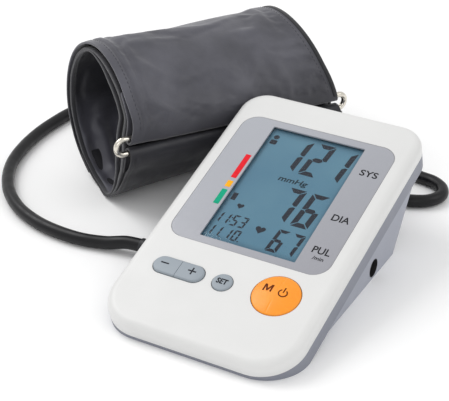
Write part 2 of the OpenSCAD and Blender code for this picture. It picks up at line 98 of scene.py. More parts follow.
class Finish:
    """A material with a Principled shader and the nodes that feed it."""

    def __init__(self, name, colour, roughness, **sockets):
        self.material = bpy.data.materials.new(name)
        self.material.use_nodes = True
        self.tree = self.material.node_tree
        self.shader = self.tree.nodes["Principled BSDF"]
        self.shader.inputs["Base Color"].default_value = colour
        self.shader.inputs["Roughness"].default_value = roughness
        for socket, value in sockets.items():
            self.shader.inputs[socket.replace("_", " ")].default_value = value
        self.colour = colour
        self.height = None

    def node(self, kind, **values):
        made = self.tree.nodes.new(kind)
        for key, value in values.items():
            if key in made.inputs:
                made.inputs[key].default_value = value
            else:
                setattr(made, key, value)
        return made

    def link(self, source, target):
        self.tree.links.new(source, target)

    def place(self, kind="Object"):
        """Where on the piece: its Object coordinates, or its UV map."""
        return self.node("ShaderNodeTexCoord").outputs[kind]

    def noise(self, scale, detail=3.0, stretch=(1, 1, 1)):
        spots = self.node("ShaderNodeTexNoise", Scale=scale, Detail=detail)
        turn = self.node("ShaderNodeMapping")
        turn.inputs["Scale"].default_value = stretch
        self.link(self.place(), turn.inputs["Vector"])
        self.link(turn.outputs["Vector"], spots.inputs["Vector"])
        return spots.outputs["Fac"]

    def axes(self, place):
        """The X, Y and Z of a place, as three values."""
        parts = self.node("ShaderNodeSeparateXYZ")
        self.link(place, parts.inputs["Vector"])
        return parts.outputs

    def reckon(self, operation, *values):
        """Arithmetic on values that are sockets or numbers."""
        step = self.node("ShaderNodeMath", operation=operation)
        for socket, value in zip(step.inputs, values):
            if isinstance(value, (int, float)):
                socket.default_value = value
            else:
                self.link(value, socket)
        return step.outputs["Value"]

    def weave(self, across, thread):
        """Threads of a width in metres, side by side along one way of the UV map."""
        wave = self.node(
            "ShaderNodeTexWave", bands_direction=across, Scale=1 / (thread * WAVE_PERIODS)
        )
        self.link(self.place("UV"), wave.inputs["Vector"])
        return wave.outputs["Fac"]

    def spread(self, value, low, high, start=0.0, stop=1.0):
        ramp = self.node("ShaderNodeMapRange")
        for socket, number in (
            ("From Min", start), ("From Max", stop), ("To Min", low), ("To Max", high),
        ):
            ramp.inputs[socket].default_value = number
        self.link(value, ramp.inputs["Value"])
        return ramp.outputs["Result"]

    def blend_colours(self, factor, first, second):
        mix = self.node("ShaderNodeMix", data_type="RGBA")
        self.link(factor, mix.inputs["Factor"])
        for socket, colour in ((6, first), (7, second)):
            if isinstance(colour, tuple):
                mix.inputs[socket].default_value = colour
            else:
                self.link(colour, mix.inputs[socket])
        return mix.outputs[2]

    def tone(self, factor, first, second):
        """Base colour runs from the first to the second as factor goes from 0 to 1."""
        self.link(self.blend_colours(factor, first, second), self.shader.inputs["Base Color"])

    def mottle(self, scale, amount):
        """Slow variation of the base colour, by amount either way."""
        light = tuple(min(1.0, c * (1 + amount)) for c in self.colour[:3]) + (1.0,)
        dark = tuple(c * (1 - amount) for c in self.colour[:3]) + (1.0,)
        self.tone(self.spread(self.noise(scale, 4.0), 0, 1, 0.3, 0.7), dark, light)
        return self

    def worn(self, low, high, scale):
        """Roughness varies between low and high."""
        patches = self.noise(scale, 5.0)
        self.link(self.spread(patches, low, high, 0.35, 0.65), self.shader.inputs["Roughness"])
        return self

    def bump(self, height, strength, distance):
        """Adds one more layer of relief on top of the earlier ones."""
        relief = self.node("ShaderNodeBump", Strength=strength, Distance=distance)
        self.link(height, relief.inputs["Height"])
        if self.height is not None:
            self.link(self.height, relief.inputs["Normal"])
        self.height = relief.outputs["Normal"]
        self.link(self.height, self.shader.inputs["Normal"])
        return self

    def grain(self, scale, strength, distance):
        return self.bump(self.noise(scale, 2.0), strength, distance)


def moulded(name, colour, roughness, grain=0.12, grain_size=2600.0):
    """Injection moulded plastic: fine spark-eroded texture, faint flow marks and handling."""
    made = Finish(name, colour, roughness)
    made.mottle(28.0, 0.018)
    made.worn(roughness - 0.05, roughness + 0.06, 45.0)
    made.grain(grain_size, grain, 0.00004)
    made.bump(made.noise(60.0, 2.0), 0.05, 0.0003)
    return made.material


def metal(name, colour, roughness):
    made = Finish(name, colour, roughness, Metallic=1.0)
    made.worn(roughness * 0.7, roughness * 1.5, 900.0)
    made.mottle(200.0, 0.05)
    made.bump(made.noise(3000.0, 3.0), 0.06, 0.00003)
    return made.material


def rubber(name, colour, roughness):
    """Matt rubber with a slight bloom and a skin of fine pits."""
    made = Finish(name, colour, roughness, Specular_IOR_Level=0.3)
    made.mottle(90.0, 0.12)
    made.worn(roughness - 0.07, roughness + 0.08, 160.0)
    made.grain(2200.0, 0.15, 0.00005)
    return made.material


def clear(name, tint, roughness):
    """Clear sheet: lets light straight through and mirrors a little, more at a slant."""
    made = Finish(name, tint, roughness)
    see = made.node("ShaderNodeBsdfTransparent", Color=tint)
    gloss = made.node("ShaderNodeBsdfGlossy", Roughness=roughness)
    smears = made.spread(made.noise(70.0, 5.0), roughness, roughness * 2.5, 0.4, 0.7)
    made.link(smears, gloss.inputs["Roughness"])
    slant = made.node("ShaderNodeLayerWeight", Blend=0.35)
    mix = made.node("ShaderNodeMixShader")
    made.link(made.spread(slant.outputs["Facing"], 0.0, 0.16, 0.1, 1.0), mix.inputs[0])
    made.link(see.outputs["BSDF"], mix.inputs[1])
    made.link(gloss.outputs["BSDF"], mix.inputs[2])
    made.link(mix.outputs["Shader"], made.tree.nodes["Material Output"].inputs["Surface"])
    made.tree.nodes.remove(made.shader)
    return made.material


def nylon(name, dark, light, roughness, sheen, shade, rise=(30, 74)):
    """Coated nylon: plain weave along the UV map, slow tone changes, soft creases, and painted light
    and shade by height.

    shade is the tone painted near the floor, as a multiple of the cloth's darker tone: below 1 it is
    painted shade, above 1 painted light; rise is the heights in mm between which that painted tone
    gives way to the cloth's own.
    """
    made = Finish(name, light, roughness, Sheen_Weight=sheen, Sheen_Roughness=0.42)
    made.shader.inputs["Specular IOR Level"].default_value = 0.38
    patches = made.spread(made.noise(34.0, 5.0), 0, 1, 0.32, 0.68)
    # Painted light and shade: near the floor the tone is the darker tone times shade, and it gives
    # way to the cloth's own tone between the heights in rise.
    deep = tuple(c * shade for c in dark[:3]) + (1.0,)
    up = made.spread(made.axes(made.place())["Z"], 0, 1, rise[0] * MM, rise[1] * MM)
    made.tone(up, deep, made.blend_colours(patches, dark, light))
    made.worn(roughness - 0.07, roughness + 0.09, 120.0)
    made.bump(made.noise(55.0, 3.0), 0.22, 0.0012)
    made.bump(made.noise(260.0, 2.0, (1, 1, 0.35)), 0.12, 0.00035)
    warp, weft = (made.weave(across, COVER_THREAD) for across in ("X", "Y"))
    made.bump(made.reckon("MULTIPLY", warp, weft), 0.22, 0.00006)
    return made.material


# ---------------------------------------------------------------- modelling kit


def free():
    """Nothing selected, no edit mode."""
    if bpy.context.object and bpy.context.object.mode != "OBJECT":
        bpy.ops.object.mode_set(mode="OBJECT")
    bpy.ops.object.select_all(action="DESELECT")


def new_object(name, data):
    obj = bpy.data.objects.new(name, data)
    bpy.context.scene.collection.objects.link(obj)
    return obj


def take(obj):
    """Only this piece selected, and active."""
    free()
    obj.select_set(True)
    bpy.context.view_layer.objects.active = obj
    return obj


def named(name):
    """Gives the piece that was just made its name."""
    obj = bpy.context.object
    obj.name = name
    obj.data.name = name
    return obj


def apply_all(obj):
    """Applies the piece's modifiers in their order."""
    take(obj)
    for modifier in list(obj.modifiers):
        bpy.ops.object.modifier_apply(modifier=modifier.name)
    return obj


def set_place(obj):
    """Puts the object's own place into its mesh."""
    take(obj)
    bpy.ops.object.transform_apply(location=True, rotation=True, scale=True)
    return obj


def join(name, pieces):
    free()
    for piece in pieces:
        piece.select_set(True)
    bpy.context.view_layer.objects.active = pieces[0]
    if len(pieces) > 1:
        bpy.ops.object.join()
    return named(name)


def smooth(obj, angle):
    take(obj)
    bpy.ops.object.shade_smooth_by_angle(angle=math.radians(angle))
    return obj


@contextmanager
def editing(obj, select="SELECT"):
    """Edit mode on one piece, with all of it selected or none."""
    take(obj)
    bpy.ops.object.mode_set(mode="EDIT")
    bpy.ops.mesh.select_all(action=select)
    yield
    bpy.ops.object.mode_set(mode="OBJECT")


def merge(obj):
    """Doubles merged and the faces turned outwards."""
    with editing(obj):
        bpy.ops.mesh.remove_doubles(threshold=DOUBLES)
        bpy.ops.mesh.normals_make_consistent(inside=False)
    return obj


def paint(obj, material):
    obj.data.materials.clear()
    obj.data.materials.append(material)
    return obj


def grid_mesh(name, points, closed_u=False, closed_v=False, flip=False, uv=None):
    """Quads over a grid of points[u, v], with a UV map in metres where uv is given."""
    nu, nv = points.shape[:2]
    u_count = nu if closed_u else nu - 1
    v_count = nv if closed_v else nv - 1
    faces = []
    for i in range(u_count):
        for j in range(v_count):
            k, m = (i + 1) % nu, (j + 1) % nv
            quad = [i * nv + j, k * nv + j, k * nv + m, i * nv + m]
            faces.append(quad[::-1] if flip else quad)
    mesh = bpy.data.meshes.new(name)
    mesh.from_pydata([tuple(p) for p in points.reshape(-1, 3)], [], faces)
    mesh.update()
    if uv is not None:
        layer = mesh.uv_layers.new(name="UVMap")
        flat = uv.reshape(-1, 2)
        for loop in mesh.loops:
            layer.data[loop.index].uv = flat[loop.vertex_index]
    return new_object(name, mesh)


def spin_profile(name, profile, steps=64):
    """Turns a profile of (radius, height) pairs in mm about Z into a closed solid."""
    free()
    bpy.ops.mesh.primitive_circle_add(vertices=3, radius=MM)
    obj = named(name)
    with editing(obj):
        bpy.ops.mesh.delete(type="VERT")
    mesh = obj.data
    mesh.vertices.add(len(profile))
    for vertex, (radius, height) in zip(mesh.vertices, profile):
        vertex.co = (radius * MM, 0, height * MM)
    mesh.edges.add(len(profile) - 1)
    for i, edge in enumerate(mesh.edges):
        edge.vertices = (i, i + 1)
    mesh.update()
    with editing(obj):
        bpy.ops.mesh.spin(steps=steps, angle=2 * math.pi, center=(0, 0, 0), axis=(0, 0, 1))
    return merge(obj)


def rounded(points, radii, steps=6):
    """A polyline of (radius, height) with its inner corners rounded."""
    out = [points[0]]
    for i in range(1, len(points) - 1):
        a, b, c = (Vector(points[k]) for k in (i - 1, i, i + 1))
        r = radii[i - 1]
        if r <= 0:
            out.append(points[i])
            continue
        start = b + (a - b).normalized() * r
        stop = b + (c - b).normalized() * r
        for k in range(steps + 1):
            t = k / steps
            p = start * (1 - t) ** 2 + b * 2 * t * (1 - t) + stop * t ** 2
            out.append((p.x, p.y))
    out.append(points[-1])
    return out


def pill_solid(name, length, width, z0, z1, edge=0.0):
    """A bar with round ends between two heights, its top edge rounded."""
    free()
    bpy.ops.mesh.primitive_cylinder_add(
        vertices=64, radius=width / 2, depth=z1 - z0, location=(0, 0, (z0 + z1) / 2)
    )
    obj = set_place(named(name))
    bpy.ops.object.mode_set(mode="EDIT")
    for side in (-1, 1):
        bpy.ops.mesh.select_all(action="DESELECT")
        bpy.ops.object.mode_set(mode="OBJECT")
        for vertex in obj.data.vertices:
            vertex.select = vertex.co.x * side > -1e-7 if side > 0 else vertex.co.x < -1e-7
        bpy.ops.object.mode_set(mode="EDIT")
        bpy.ops.transform.translate(value=(side * (length - width) / 2, 0, 0))
    bpy.ops.object.mode_set(mode="OBJECT")
    if edge:
        round_top(obj, z1, edge)
    return obj


def round_top(obj, top, edge, steps=5):
    """Rounds the edges that lie at the top height."""
    take(obj)
    for e in obj.data.edges:
        e.select = all(abs(obj.data.vertices[v].co.z - top) < 1e-6 for v in e.vertices)
    for p in obj.data.polygons:
        p.select = False
    bpy.ops.object.mode_set(mode="EDIT")
    bpy.ops.mesh.select_mode(type="EDGE")
    bpy.ops.mesh.bevel(offset=edge, segments=steps, profile=0.5, affect="EDGES")
    bpy.ops.mesh.select_mode(type="VERT")
    bpy.ops.object.mode_set(mode="OBJECT")
    return obj


def flat_outline(name, outlines, thick):
    """Closed outlines, each a list of (x, y), made a thin flat solid on Z = 0."""
    curve = bpy.data.curves.new(name, "CURVE")
    curve.dimensions = "2D"
    curve.fill_mode = "BOTH"
    curve.extrude = thick / 2
    for outline in outlines:
        line = curve.splines.new("POLY")
        line.points.add(len(outline) - 1)
        for point, (x, y) in zip(line.points, outline):
            point.co = (x, y, 0, 1)
        line.use_cyclic_u = True
    take(new_object(name, curve))
    bpy.ops.object.convert(target="MESH")
    obj = bpy.context.object
    obj.data.transform(Matrix.Translation((0, 0, thick / 2)))
    return merge(obj)


CAPITAL = 0.73


def lettering(name, words, x, y, height, thick, width, weight, lean=0.0):
    """Words in mm, centred on x, y in plain type, given by the height of a capital."""
    free()
    bpy.ops.object.text_add(location=(0, 0, 0))
    obj = named(name)
    obj.data.body = words
    obj.data.size = 1.0
    obj.data.extrude = 0
    obj.data.offset = weight
    obj.data.resolution_u = 4
    bpy.ops.object.convert(target="MESH")
    obj = bpy.context.object
    take(obj)
    co = np.array([v.co for v in obj.data.vertices])
    low, high = co.min(0), co.max(0)
    scale = height / CAPITAL
    wide = width / (high[0] - low[0])
    middle = (low + high) / 2
    moved = np.zeros_like(co)
    moved[:, 1] = (co[:, 1] - CAPITAL / 2) * scale
    moved[:, 0] = (co[:, 0] - middle[0]) * wide + moved[:, 1] * math.tan(lean) + x
    moved[:, 1] += y
    for vertex, place in zip(obj.data.vertices, moved):
        vertex.co = place
    solid = obj.modifiers.new("thick", "SOLIDIFY")
    solid.thickness = thick
    solid.offset = 1
    merge(obj)
    apply_all(obj)
    co = np.array([v.co for v in obj.data.vertices])
    obj.data.transform(Matrix.Translation((0, 0, -co[:, 2].min())))
    merge(obj)
    obj.data.transform(Matrix.Scale(MM, 4))
    return obj


# ---------------------------------------------------------------- places on the monitor

TILT = math.radians(16.6)
FRONT_Y = -91 * MM
PANEL_TOP = 11.3
LCD_TOP = 9.1
BAND_FOOT = -7.5 * MM
BAND_BLUR = 0.1 * MM
FACE = Matrix((
    (1, 0, 0, 0),
    (0, math.cos(TILT), -math.sin(TILT), FRONT_Y),
    (0, math.sin(TILT), math.cos(TILT), 0),
    (0, 0, 0, 1),
))


def on_face(obj, height=0.0):
    """Moves a piece modelled flat onto the sloping face, at a height along its normal in mm."""
    obj.data.transform(FACE @ Matrix.Translation((0, 0, height * MM)))
    return obj


def box_outline(x0, x1, y0, y1, corner=0.0, steps=5):
    """A rectangle in mm, as metres, with round corners."""
    if corner <= 0:
        return [(x * MM, y * MM) for x, y in ((x0, y0), (x1, y0), (x1, y1), (x0, y1))]
    out = []
    for cx, cy, start in (
        (x1 - corner, y0 + corner, -90), (x1 - corner, y1 - corner, 0),
        (x0 + corner, y1 - corner, 90), (x0 + corner, y0 + corner, 180),
    ):
        for k in range(steps + 1):
            a = math.radians(start + 90 * k / steps)
            out.append(((cx + corner * math.cos(a)) * MM, (cy + corner * math.sin(a)) * MM))
    return out


def disc_outline(x, y, radius, steps=24):
    turn = 2 * math.pi / steps
    return [
        ((x + radius * math.cos(turn * k)) * MM, (y + radius * math.sin(turn * k)) * MM)
        for k in range(steps)
    ]


# ---------------------------------------------------------------- hose

HOSE_R = 3.9 * MM
CUFF_PLACE = Vector((-131.5, 30.2, 0)) * MM
CUFF_TURN = math.radians(63)
GLAND_S, GLAND_H, GLAND_Z, GLAND_L = 112, -30.2, 11, 16
SOCKET_Y, SOCKET_Z = -21, 7.4
HOSE_ROUTE = [
    (-26, 103, 7), (-10, 101, 4.1), (12, 101, 4.1), (32, 103, 4.1),
    (44, 106.5, 4.1), (52, 111.5, 4.1), (56, 120, 4.1), (53.5, 128.5, 4.1),
    (46, 134, 4.1), (35, 136, 4.1), (10, 141, 4.1), (-15, 152, 4.1),
    (-38, 171, 4.1), (-60, 191, 4.1), (-85, 206, 4.1), (-112, 209, 4.1),
    (-138, 194, 4.1), (-162, 164, 4.1), (-185, 134, 4.1), (-203, 109, 4.1),
    (-207, 84, 4.1), (-206, 58, 4.1), (-200, 32, 4.1), (-190, 12, 4.1),
    (-176, -5, 4.1), (-158, -18, 4.1), (-136, -26, 4.1), (-112, -28, 4.1),
    (-94, -25, 4.6), (-81, -22, 7),
]
PLUG_TAIL_X = -71
SIDE_X = 53.9
JACK_X, JACK_Y, JACK_Z = SIDE_X - 3.36, 23, 6.6


def cuff_matrix():
    return Matrix.Translation(CUFF_PLACE) @ Matrix.Rotation(CUFF_TURN, 4, "Z")


def spline_points(points, steps):
    """Smooth curve through the points, the same as the part's own."""
    out = []
    last = len(points) - 1
    for i in range(last):
        a, b = points[max(i - 1, 0)], points[i]
        c, d = points[i + 1], points[min(i + 2, last)]
        for k in range(steps):
            t = k / steps
            out.append(0.5 * (
                2 * b + (c - a) * t + (2 * a - 5 * b + 4 * c - d) * t * t
                + (3 * b - a - 3 * c + d) * t * t * t
            ))
    out.append(points[last])
    return out


def add_hose(material):
    start = cuff_matrix() @ (Vector((GLAND_S, GLAND_H - GLAND_L, GLAND_Z)) * MM)
    stop = Vector((PLUG_TAIL_X, SOCKET_Y, SOCKET_Z)) * MM
    line = spline_points([start] + [Vector(p) * MM for p in HOSE_ROUTE] + [stop], 8)
    curve = bpy.data.curves.new("air_hose", "CURVE")
    curve.dimensions = "3D"
    curve.bevel_depth = HOSE_R
    curve.bevel_resolution = 7
    curve.use_fill_caps = True
    track = curve.splines.new("POLY")
    track.points.add(len(line) - 1)
    for point, place in zip(track.points, line):
        point.co = (*place, 1)
    track.use_smooth = True
    hose = new_object("air_hose", curve)
    hose.data.materials.append(material)
    length = sum((b - a).length for a, b in zip(line, line[1:]))
    return hose, start, length


# ---------------------------------------------------------------- keys and plugs


def ease(t):
    """Smooth step from 0 to 1."""
    t = min(1.0, max(0.0, t))
    return t * t * (3 - 2 * t)


INK_T = {"main": 0.12, "small": 0.1, "panel": 0.08, "display": 0.07}
INK_SUNK = 0.01
KEY_BASE_N = 7.2
GROOVE_HALF = 0.14
ROCKER = (-27.1, 43.5)
SET_KEY = (-0.6, 43.6)
MAIN_KEY = (30.2, 45.8)
MAIN_D, MAIN_DOME, MAIN_SIDE_N = 26.5, 2.0, 11.8
CREASE_WIDTH, CREASE_DEPTH = 0.32, 0.13


def at_key(obj, place):
    obj.data.transform(FACE @ Matrix.Translation((place[0] * MM, place[1] * MM, 0)))
    return obj


def cross_pin(name, reach, height, diameter):
    """Pivot pin across a key, all in mm."""
    free()
    bpy.ops.mesh.primitive_cylinder_add(
        vertices=24, radius=diameter / 2 * MM, depth=(2 * reach + 1.8) * MM,
        location=(0, 0, height * MM), rotation=(math.pi / 2, 0, 0),
    )
    return set_place(named(name))


def add_rocker(material):
    """Two-way key: its cap is parted by a shallow groove between the two signs."""
    pieces = []
    for side in (-1, 1):
        half = pill_solid("half", 30.6 * MM, 11.6 * MM, KEY_BASE_N * MM, 12.6 * MM, 1.1 * MM)
        with editing(half):
            bpy.ops.mesh.bisect(
                plane_co=(side * GROOVE_HALF * MM, 0, 0), plane_no=(-side, 0, 0),
                use_fill=True, clear_outer=True,
            )
        pieces.append(merge(half))
    pieces.append(pill_solid("core", 30 * MM, 11 * MM, 7 * MM, 12.25 * MM, 0.9 * MM))
    pieces.append(pill_solid("rim", 33 * MM, 13.6 * MM, 6.6 * MM, 8 * MM, 0.2 * MM))
    key = join("rocker_key_cap", pieces + [cross_pin("pin", 8.3, 7.2, 2)])
    return paint(smooth(at_key(key, ROCKER), 30), material)


def add_set_key(material):
    profile = rounded(
        [(0, 6.9), (6.7, 6.9), (6.7, 8.0), (5.7, 8.0), (5.7, 12.3), (0, 12.55)],
        (0.1, 0.1, 0, 0.9),
    )
    key = spin_profile("set_key_cap", profile, 80)
    return paint(smooth(at_key(key, SET_KEY), 40), material)


def main_dome(x, y):
    """Height of the main key's top above the face frame, in mm, x and y from its centre."""
    sphere_r = (MAIN_D ** 2 / 4 + MAIN_DOME ** 2) / (2 * MAIN_DOME)
    rise = math.sqrt(max(0.0, sphere_r ** 2 - x * x - y * y)) - sphere_r + MAIN_DOME
    deep = CREASE_DEPTH * ease((abs(y + 1) - 2.5) / 4) if y * y + x * x < 150 else 0.0
    return MAIN_SIDE_N + rise - deep * hill(x, 0, CREASE_WIDTH)


def add_main_key(material):
    profile = [(0, 6.6), (14.2, 6.6), (14.25, 6.7), (14.25, 7.7), (14.15, 7.8), (13.25, 7.8)]
    profile += [(13.25, 11.2)]
    profile += [(12.65 + 0.6 * math.cos(a), 11.2 + 0.75 * math.sin(a))
                for a in (math.radians(20), math.radians(45), math.radians(70))]
    rings = 34
    profile += [(12.4 * (1 - k / rings), None) for k in range(rings + 1)]
    placed = [(r, main_dome(0, r) if h is None else h) for r, h in profile]
    key = spin_profile("main_key_cap", placed, 180)
    for vertex in key.data.vertices:
        x, y = vertex.co.x / MM, vertex.co.y / MM
        if vertex.co.z > 11.9 * MM and math.hypot(x, y) < 12.5:
            vertex.co.z = main_dome(x, y) * MM
    key = join("main_key_cap", [key, cross_pin("pin", 16.3, 7.4, 2.4)])
    return paint(smooth(at_key(key, MAIN_KEY), 50), material)


def wrap_on_dome(obj):
    """Lays a flat printed mark, centred on the main key, on its dome."""
    for vertex in obj.data.vertices:
        x, y = vertex.co.x / MM, vertex.co.y / MM
        vertex.co.z += (main_dome(x, y) - 0.03) * MM
    return at_key(obj, MAIN_KEY)


def arc_band(x, y, radius, width, start, stop, steps=28):
    """A bent stroke in mm from one angle to another, as an outline in metres."""
    outline = []
    for side, order in ((radius + width / 2, 1), (radius - width / 2, -1)):
        for k in range(steps + 1)[::order]:
            a = math.radians(start + (stop - start) * k / steps)
            outline.append(((x + side * math.cos(a)) * MM, (y + side * math.sin(a)) * MM))
    return outline


def letter_m(x, y, w, h, t):
    """Outline of a plain bold M in mm; t is the width of its strokes."""
    half = (
        (0, 0), (t, 0), (t, 0.66 * h), (w / 2 - 0.4 * t, 0.06 * h), (w / 2 + 0.4 * t, 0.06 * h),
        (w - t, 0.66 * h), (w - t, 0), (w, 0), (w, h), (w - 1.25 * t, h), (w / 2, 0.38 * h),
        (1.25 * t, h), (0, h),
    )
    return [((x + px) * MM, (y + py) * MM) for px, py in half]


def add_key_marks(brown, grey_ink):
    power = flat_outline("power_mark", [
        arc_band(3.5, 1.3, 2.3, 0.68, 122, 418),
        box_outline(3.16, 3.84, 1.6, 5.2),
    ], INK_T["main"] * MM)
    memory = flat_outline(
        "memory_mark", [letter_m(-8.1, -0.1, 5.2, 4.9, 0.95)], INK_T["main"] * MM
    )
    marks = [wrap_on_dome(o) for o in (power, memory)]
    main = join("main_key_marks", marks)
    paint(main, brown)
    minus = flat_outline("minus", [box_outline(-11.2, -6.4, 0.3, 1.15)], INK_T["small"] * MM)
    plus = flat_outline("plus", [
        box_outline(5.6, 10.4, 0.3, 1.15), box_outline(7.6, 8.4, 1.15, 3.1),
        box_outline(7.6, 8.4, -1.7, 0.3),
    ], INK_T["small"] * MM)
    rocker = join("rocker_key_marks", [minus, plus])
    rocker.data.transform(Matrix.Translation((0, 0, 12.58 * MM)))
    paint(at_key(rocker, ROCKER), grey_ink)
    words = lettering("set_key_marks", "SET", 0, 0.3, 3.5, INK_T["small"], width=6.3, weight=0.022)
    words.data.transform(Matrix.Translation((0, 0, 12.5 * MM)))
    paint(at_key(words, SET_KEY), grey_ink)
    return main, rocker, words


def along_x(obj, place):
    """Turns a lathed piece from the Z axis to the X axis and moves it there."""
    turn = Matrix.Rotation(math.pi / 2, 4, "Y")
    obj.data.transform(Matrix.Translation(Vector(place) * MM) @ turn)
    return obj


def add_air_plug(material):
    """Plug on the end of the hose: a ribbed grip, a collar and a barb that seals."""
    profile = [(0, 0), (4.3, 0), (4.5, 0.3), (4.5, 4.4), (4.7, 5)]
    for k in range(5):
        start = 5.4 + 1.7 * k
        profile += [(5.0, start), (5.0, start + 0.9), (4.6, start + 1.15), (4.6, start + 1.45)]
    profile += [(5.0, 14.2), (5.0, 15.3), (4.7, 15.8), (2.3, 15.8), (2.3, 17.4), (2.5, 18)]
    profile += [(2.2, 19.4), (2.2, 20.4), (2.5, 21), (2.2, 22.4), (2.2, 23.4), (1.9, 24.3), (0, 24.3)]
    plug = spin_profile("air_plug_grip", profile)
    along_x(plug, (PLUG_TAIL_X, SOCKET_Y, SOCKET_Z))
    return paint(smooth(plug, 40), material)


def add_gland(material):
    """Rubber gland where the hose leaves the cuff, with rings that let it bend."""
    profile = [(0, 0), (5.2, 0), (5.2, 2.2), (4.9, 2.6)]
    for k in range(5):
        start = 3.2 + 2.4 * k
        r = 4.75 - 0.08 * k
        profile += [(r, start), (r, start + 1.5), (r - 0.35, start + 1.8), (r - 0.35, start + 2.1)]
    profile += [(4.3, 15.6), (4.15, 16), (0, 16)]
    gland = spin_profile("hose_gland_boot", profile)
    stand = Matrix.Rotation(math.pi / 2, 4, "X")
    place = Matrix.Translation(Vector((GLAND_S, GLAND_H, GLAND_Z)) * MM)
    gland.data.transform(cuff_matrix() @ place @ stand)
    return paint(smooth(gland, 40), material)


def add_jack_shade_liner(material):
    """Dark cup of painted shade that lines the power jack's recess in the right wall: the recess's
    inside is made black to stand for its shadow.
    """
    profile = [(3.3, 0), (5.42, 0), (5.42, 3.3), (5.2, 3.3), (5.1, 0.35), (3.3, 0.35), (3.3, 0)]
    shade_cup = spin_profile("jack_shade_liner", profile)
    along_x(shade_cup, (JACK_X, JACK_Y, JACK_Z))
    return paint(smooth(shade_cup, 40), material)


# ---------------------------------------------------------------- display

LEAN = math.tan(math.radians(5.0))
SEGMENTS = {
    "0": "abcdef", "1": "bc", "2": "abged", "3": "abgcd", "5": "afgcd",
    "6": "afgedc", "7": "abc",
}


def segment_outlines(figure, x, y, w, h, t, gap):
    """Outlines of a seven-segment figure in mm: x, y is its lower left, t its bar width."""
    m = h / 2
    shapes = {
        "a": ((gap, h), (w - gap, h), (w - t - gap * 0.6, h - t), (t + gap * 0.6, h - t)),
        "d": ((gap, 0), (t + gap * 0.6, t), (w - t - gap * 0.6, t), (w - gap, 0)),
        "f": ((0, h - gap * 1.6), (t, h - t - gap), (t, m + t * 0.42 + gap * 0.6),
              (t / 2, m + gap * 0.8), (0, m + gap * 1.2)),
        "e": ((0, gap * 1.6), (0, m - gap * 1.2), (t / 2, m - gap * 0.8),
              (t, m - t * 0.42 - gap * 0.6), (t, t + gap)),
        "g": ((t + gap * 0.4, m + t / 2), (w - t - gap * 0.4, m + t / 2), (w - t / 2 - gap, m),
              (w - t - gap * 0.4, m - t / 2), (t + gap * 0.4, m - t / 2), (t / 2 + gap, m)),
    }
    shapes["b"] = tuple((w - px, py) for px, py in shapes["f"])
    shapes["c"] = tuple((w - px, py) for px, py in shapes["e"])
    return [
        [((x + px + py * LEAN) * MM, (y + py) * MM) for px, py in shapes[key]]
        for key in SEGMENTS[figure]
    ]


def number_outlines(text, right, y, w, h, t, gap, pitch):
    """A number whose last figure ends at right."""
    out = []
    for place, figure in enumerate(reversed(text)):
        if figure != " ":
            out += segment_outlines(figure, right - w - place * pitch, y, w, h, t, gap)
    return out


def heart_outline(x, y, size, steps=28):
    out = []
    for k in range(steps):
        a = 2 * math.pi * k / steps
        px = 16 * math.sin(a) ** 3
        py = 13 * math.cos(a) - 5 * math.cos(2 * a) - 2 * math.cos(3 * a) - math.cos(4 * a)
        out.append(((x + px * size / 34) * MM, (y + (py + 3) * size / 34) * MM))
    return out


def add_display_marks(ink, unit_ink):
    """Figures and signs of a generic reading, lying on the liquid crystal glass."""
    outlines = number_outlines("121", 24.1, 133.2, 10.6, 26.6, 3.2, 0.45, 13.9)
    outlines += number_outlines("76", 23.6, 95.6, 10.6, 26.4, 3.2, 0.45, 14.1)
    outlines += number_outlines("67", 24.4, 74.2, 7.0, 16.8, 2.1, 0.3, 9.2)
    outlines += number_outlines("11", -20.6, 84.0, 3.8, 8.2, 1.05, 0.2, 4.7)
    outlines += number_outlines("53", -10.0, 84.0, 3.8, 8.2, 1.05, 0.2, 5.1)
    outlines += number_outlines("11", -20.6, 74.0, 3.8, 8.0, 1.05, 0.2, 4.7)
    outlines += number_outlines("10", -9.4, 74.0, 3.8, 8.0, 1.05, 0.2, 5.1)
    for x, y in ((-19.3, 86.6), (-19.1, 89.6), (-19.6, 74.4), (-8.2, 74.4)):
        outlines.append(disc_outline(x, y, 0.45, 10))
    outlines.append(heart_outline(-0.3, 86.2, 6.4))
    outlines.append(heart_outline(-19.0, 98.7, 4.6))
    outlines.append(box_outline(-27.2, -24.3, 102.0, 107.6))
    outlines.append(disc_outline(-24.7, 156.3, 1.75))
    outlines.append(box_outline(-26.9, -22.7, 150.2, 153.9, 0.9))
    marks = flat_outline("lcd_figures", outlines, INK_T["display"] * MM)
    unit = lettering(
        "lcd_unit", "mmHg", 0.4, 127.0, 3.9, INK_T["display"], width=17.5, lean=0.14, weight=0.018
    )
    for obj, paint_with in ((marks, ink), (unit, unit_ink)):
        paint(on_face(obj, LCD_TOP - INK_SUNK), paint_with)
    return marks, unit


def add_panel_marks(ink, colours):
    """Generic row names beside the figures, and the three-colour pressure scale."""
    rows = []
    for name, words, x, y, height, width in (
        ("row_sys", "SYS", 39.1, 144.6, 4.7, 10.6), ("row_dia", "DIA", 38.9, 107.6, 4.9, 10.4),
        ("row_pul", "PUL", 39.0, 82.8, 4.9, 10.4), ("row_min", "/min", 39.4, 77.2, 2.5, 6.4),
    ):
        rows.append(lettering(
            name, words, x, y, height, INK_T["panel"], width=width, weight=0.012
        ))
    words = join("row_names", rows)
    pieces = [paint(on_face(words, PANEL_TOP - INK_SUNK), ink)]
    for name, y0, y1, colour in (
        ("scale_high", 115.9, 135.7, colours[0]), ("scale_raised", 108.3, 113.3, colours[1]),
        ("scale_normal", 94.4, 106.2, colours[2]),
    ):
        bar = flat_outline(name, [box_outline(-33.8, -30.4, y0, y1, 0.35, 3)], INK_T["panel"] * MM)
        pieces.append(paint(on_face(bar, PANEL_TOP - INK_SUNK), colour))
    return pieces


# ---------------------------------------------------------------- cuff

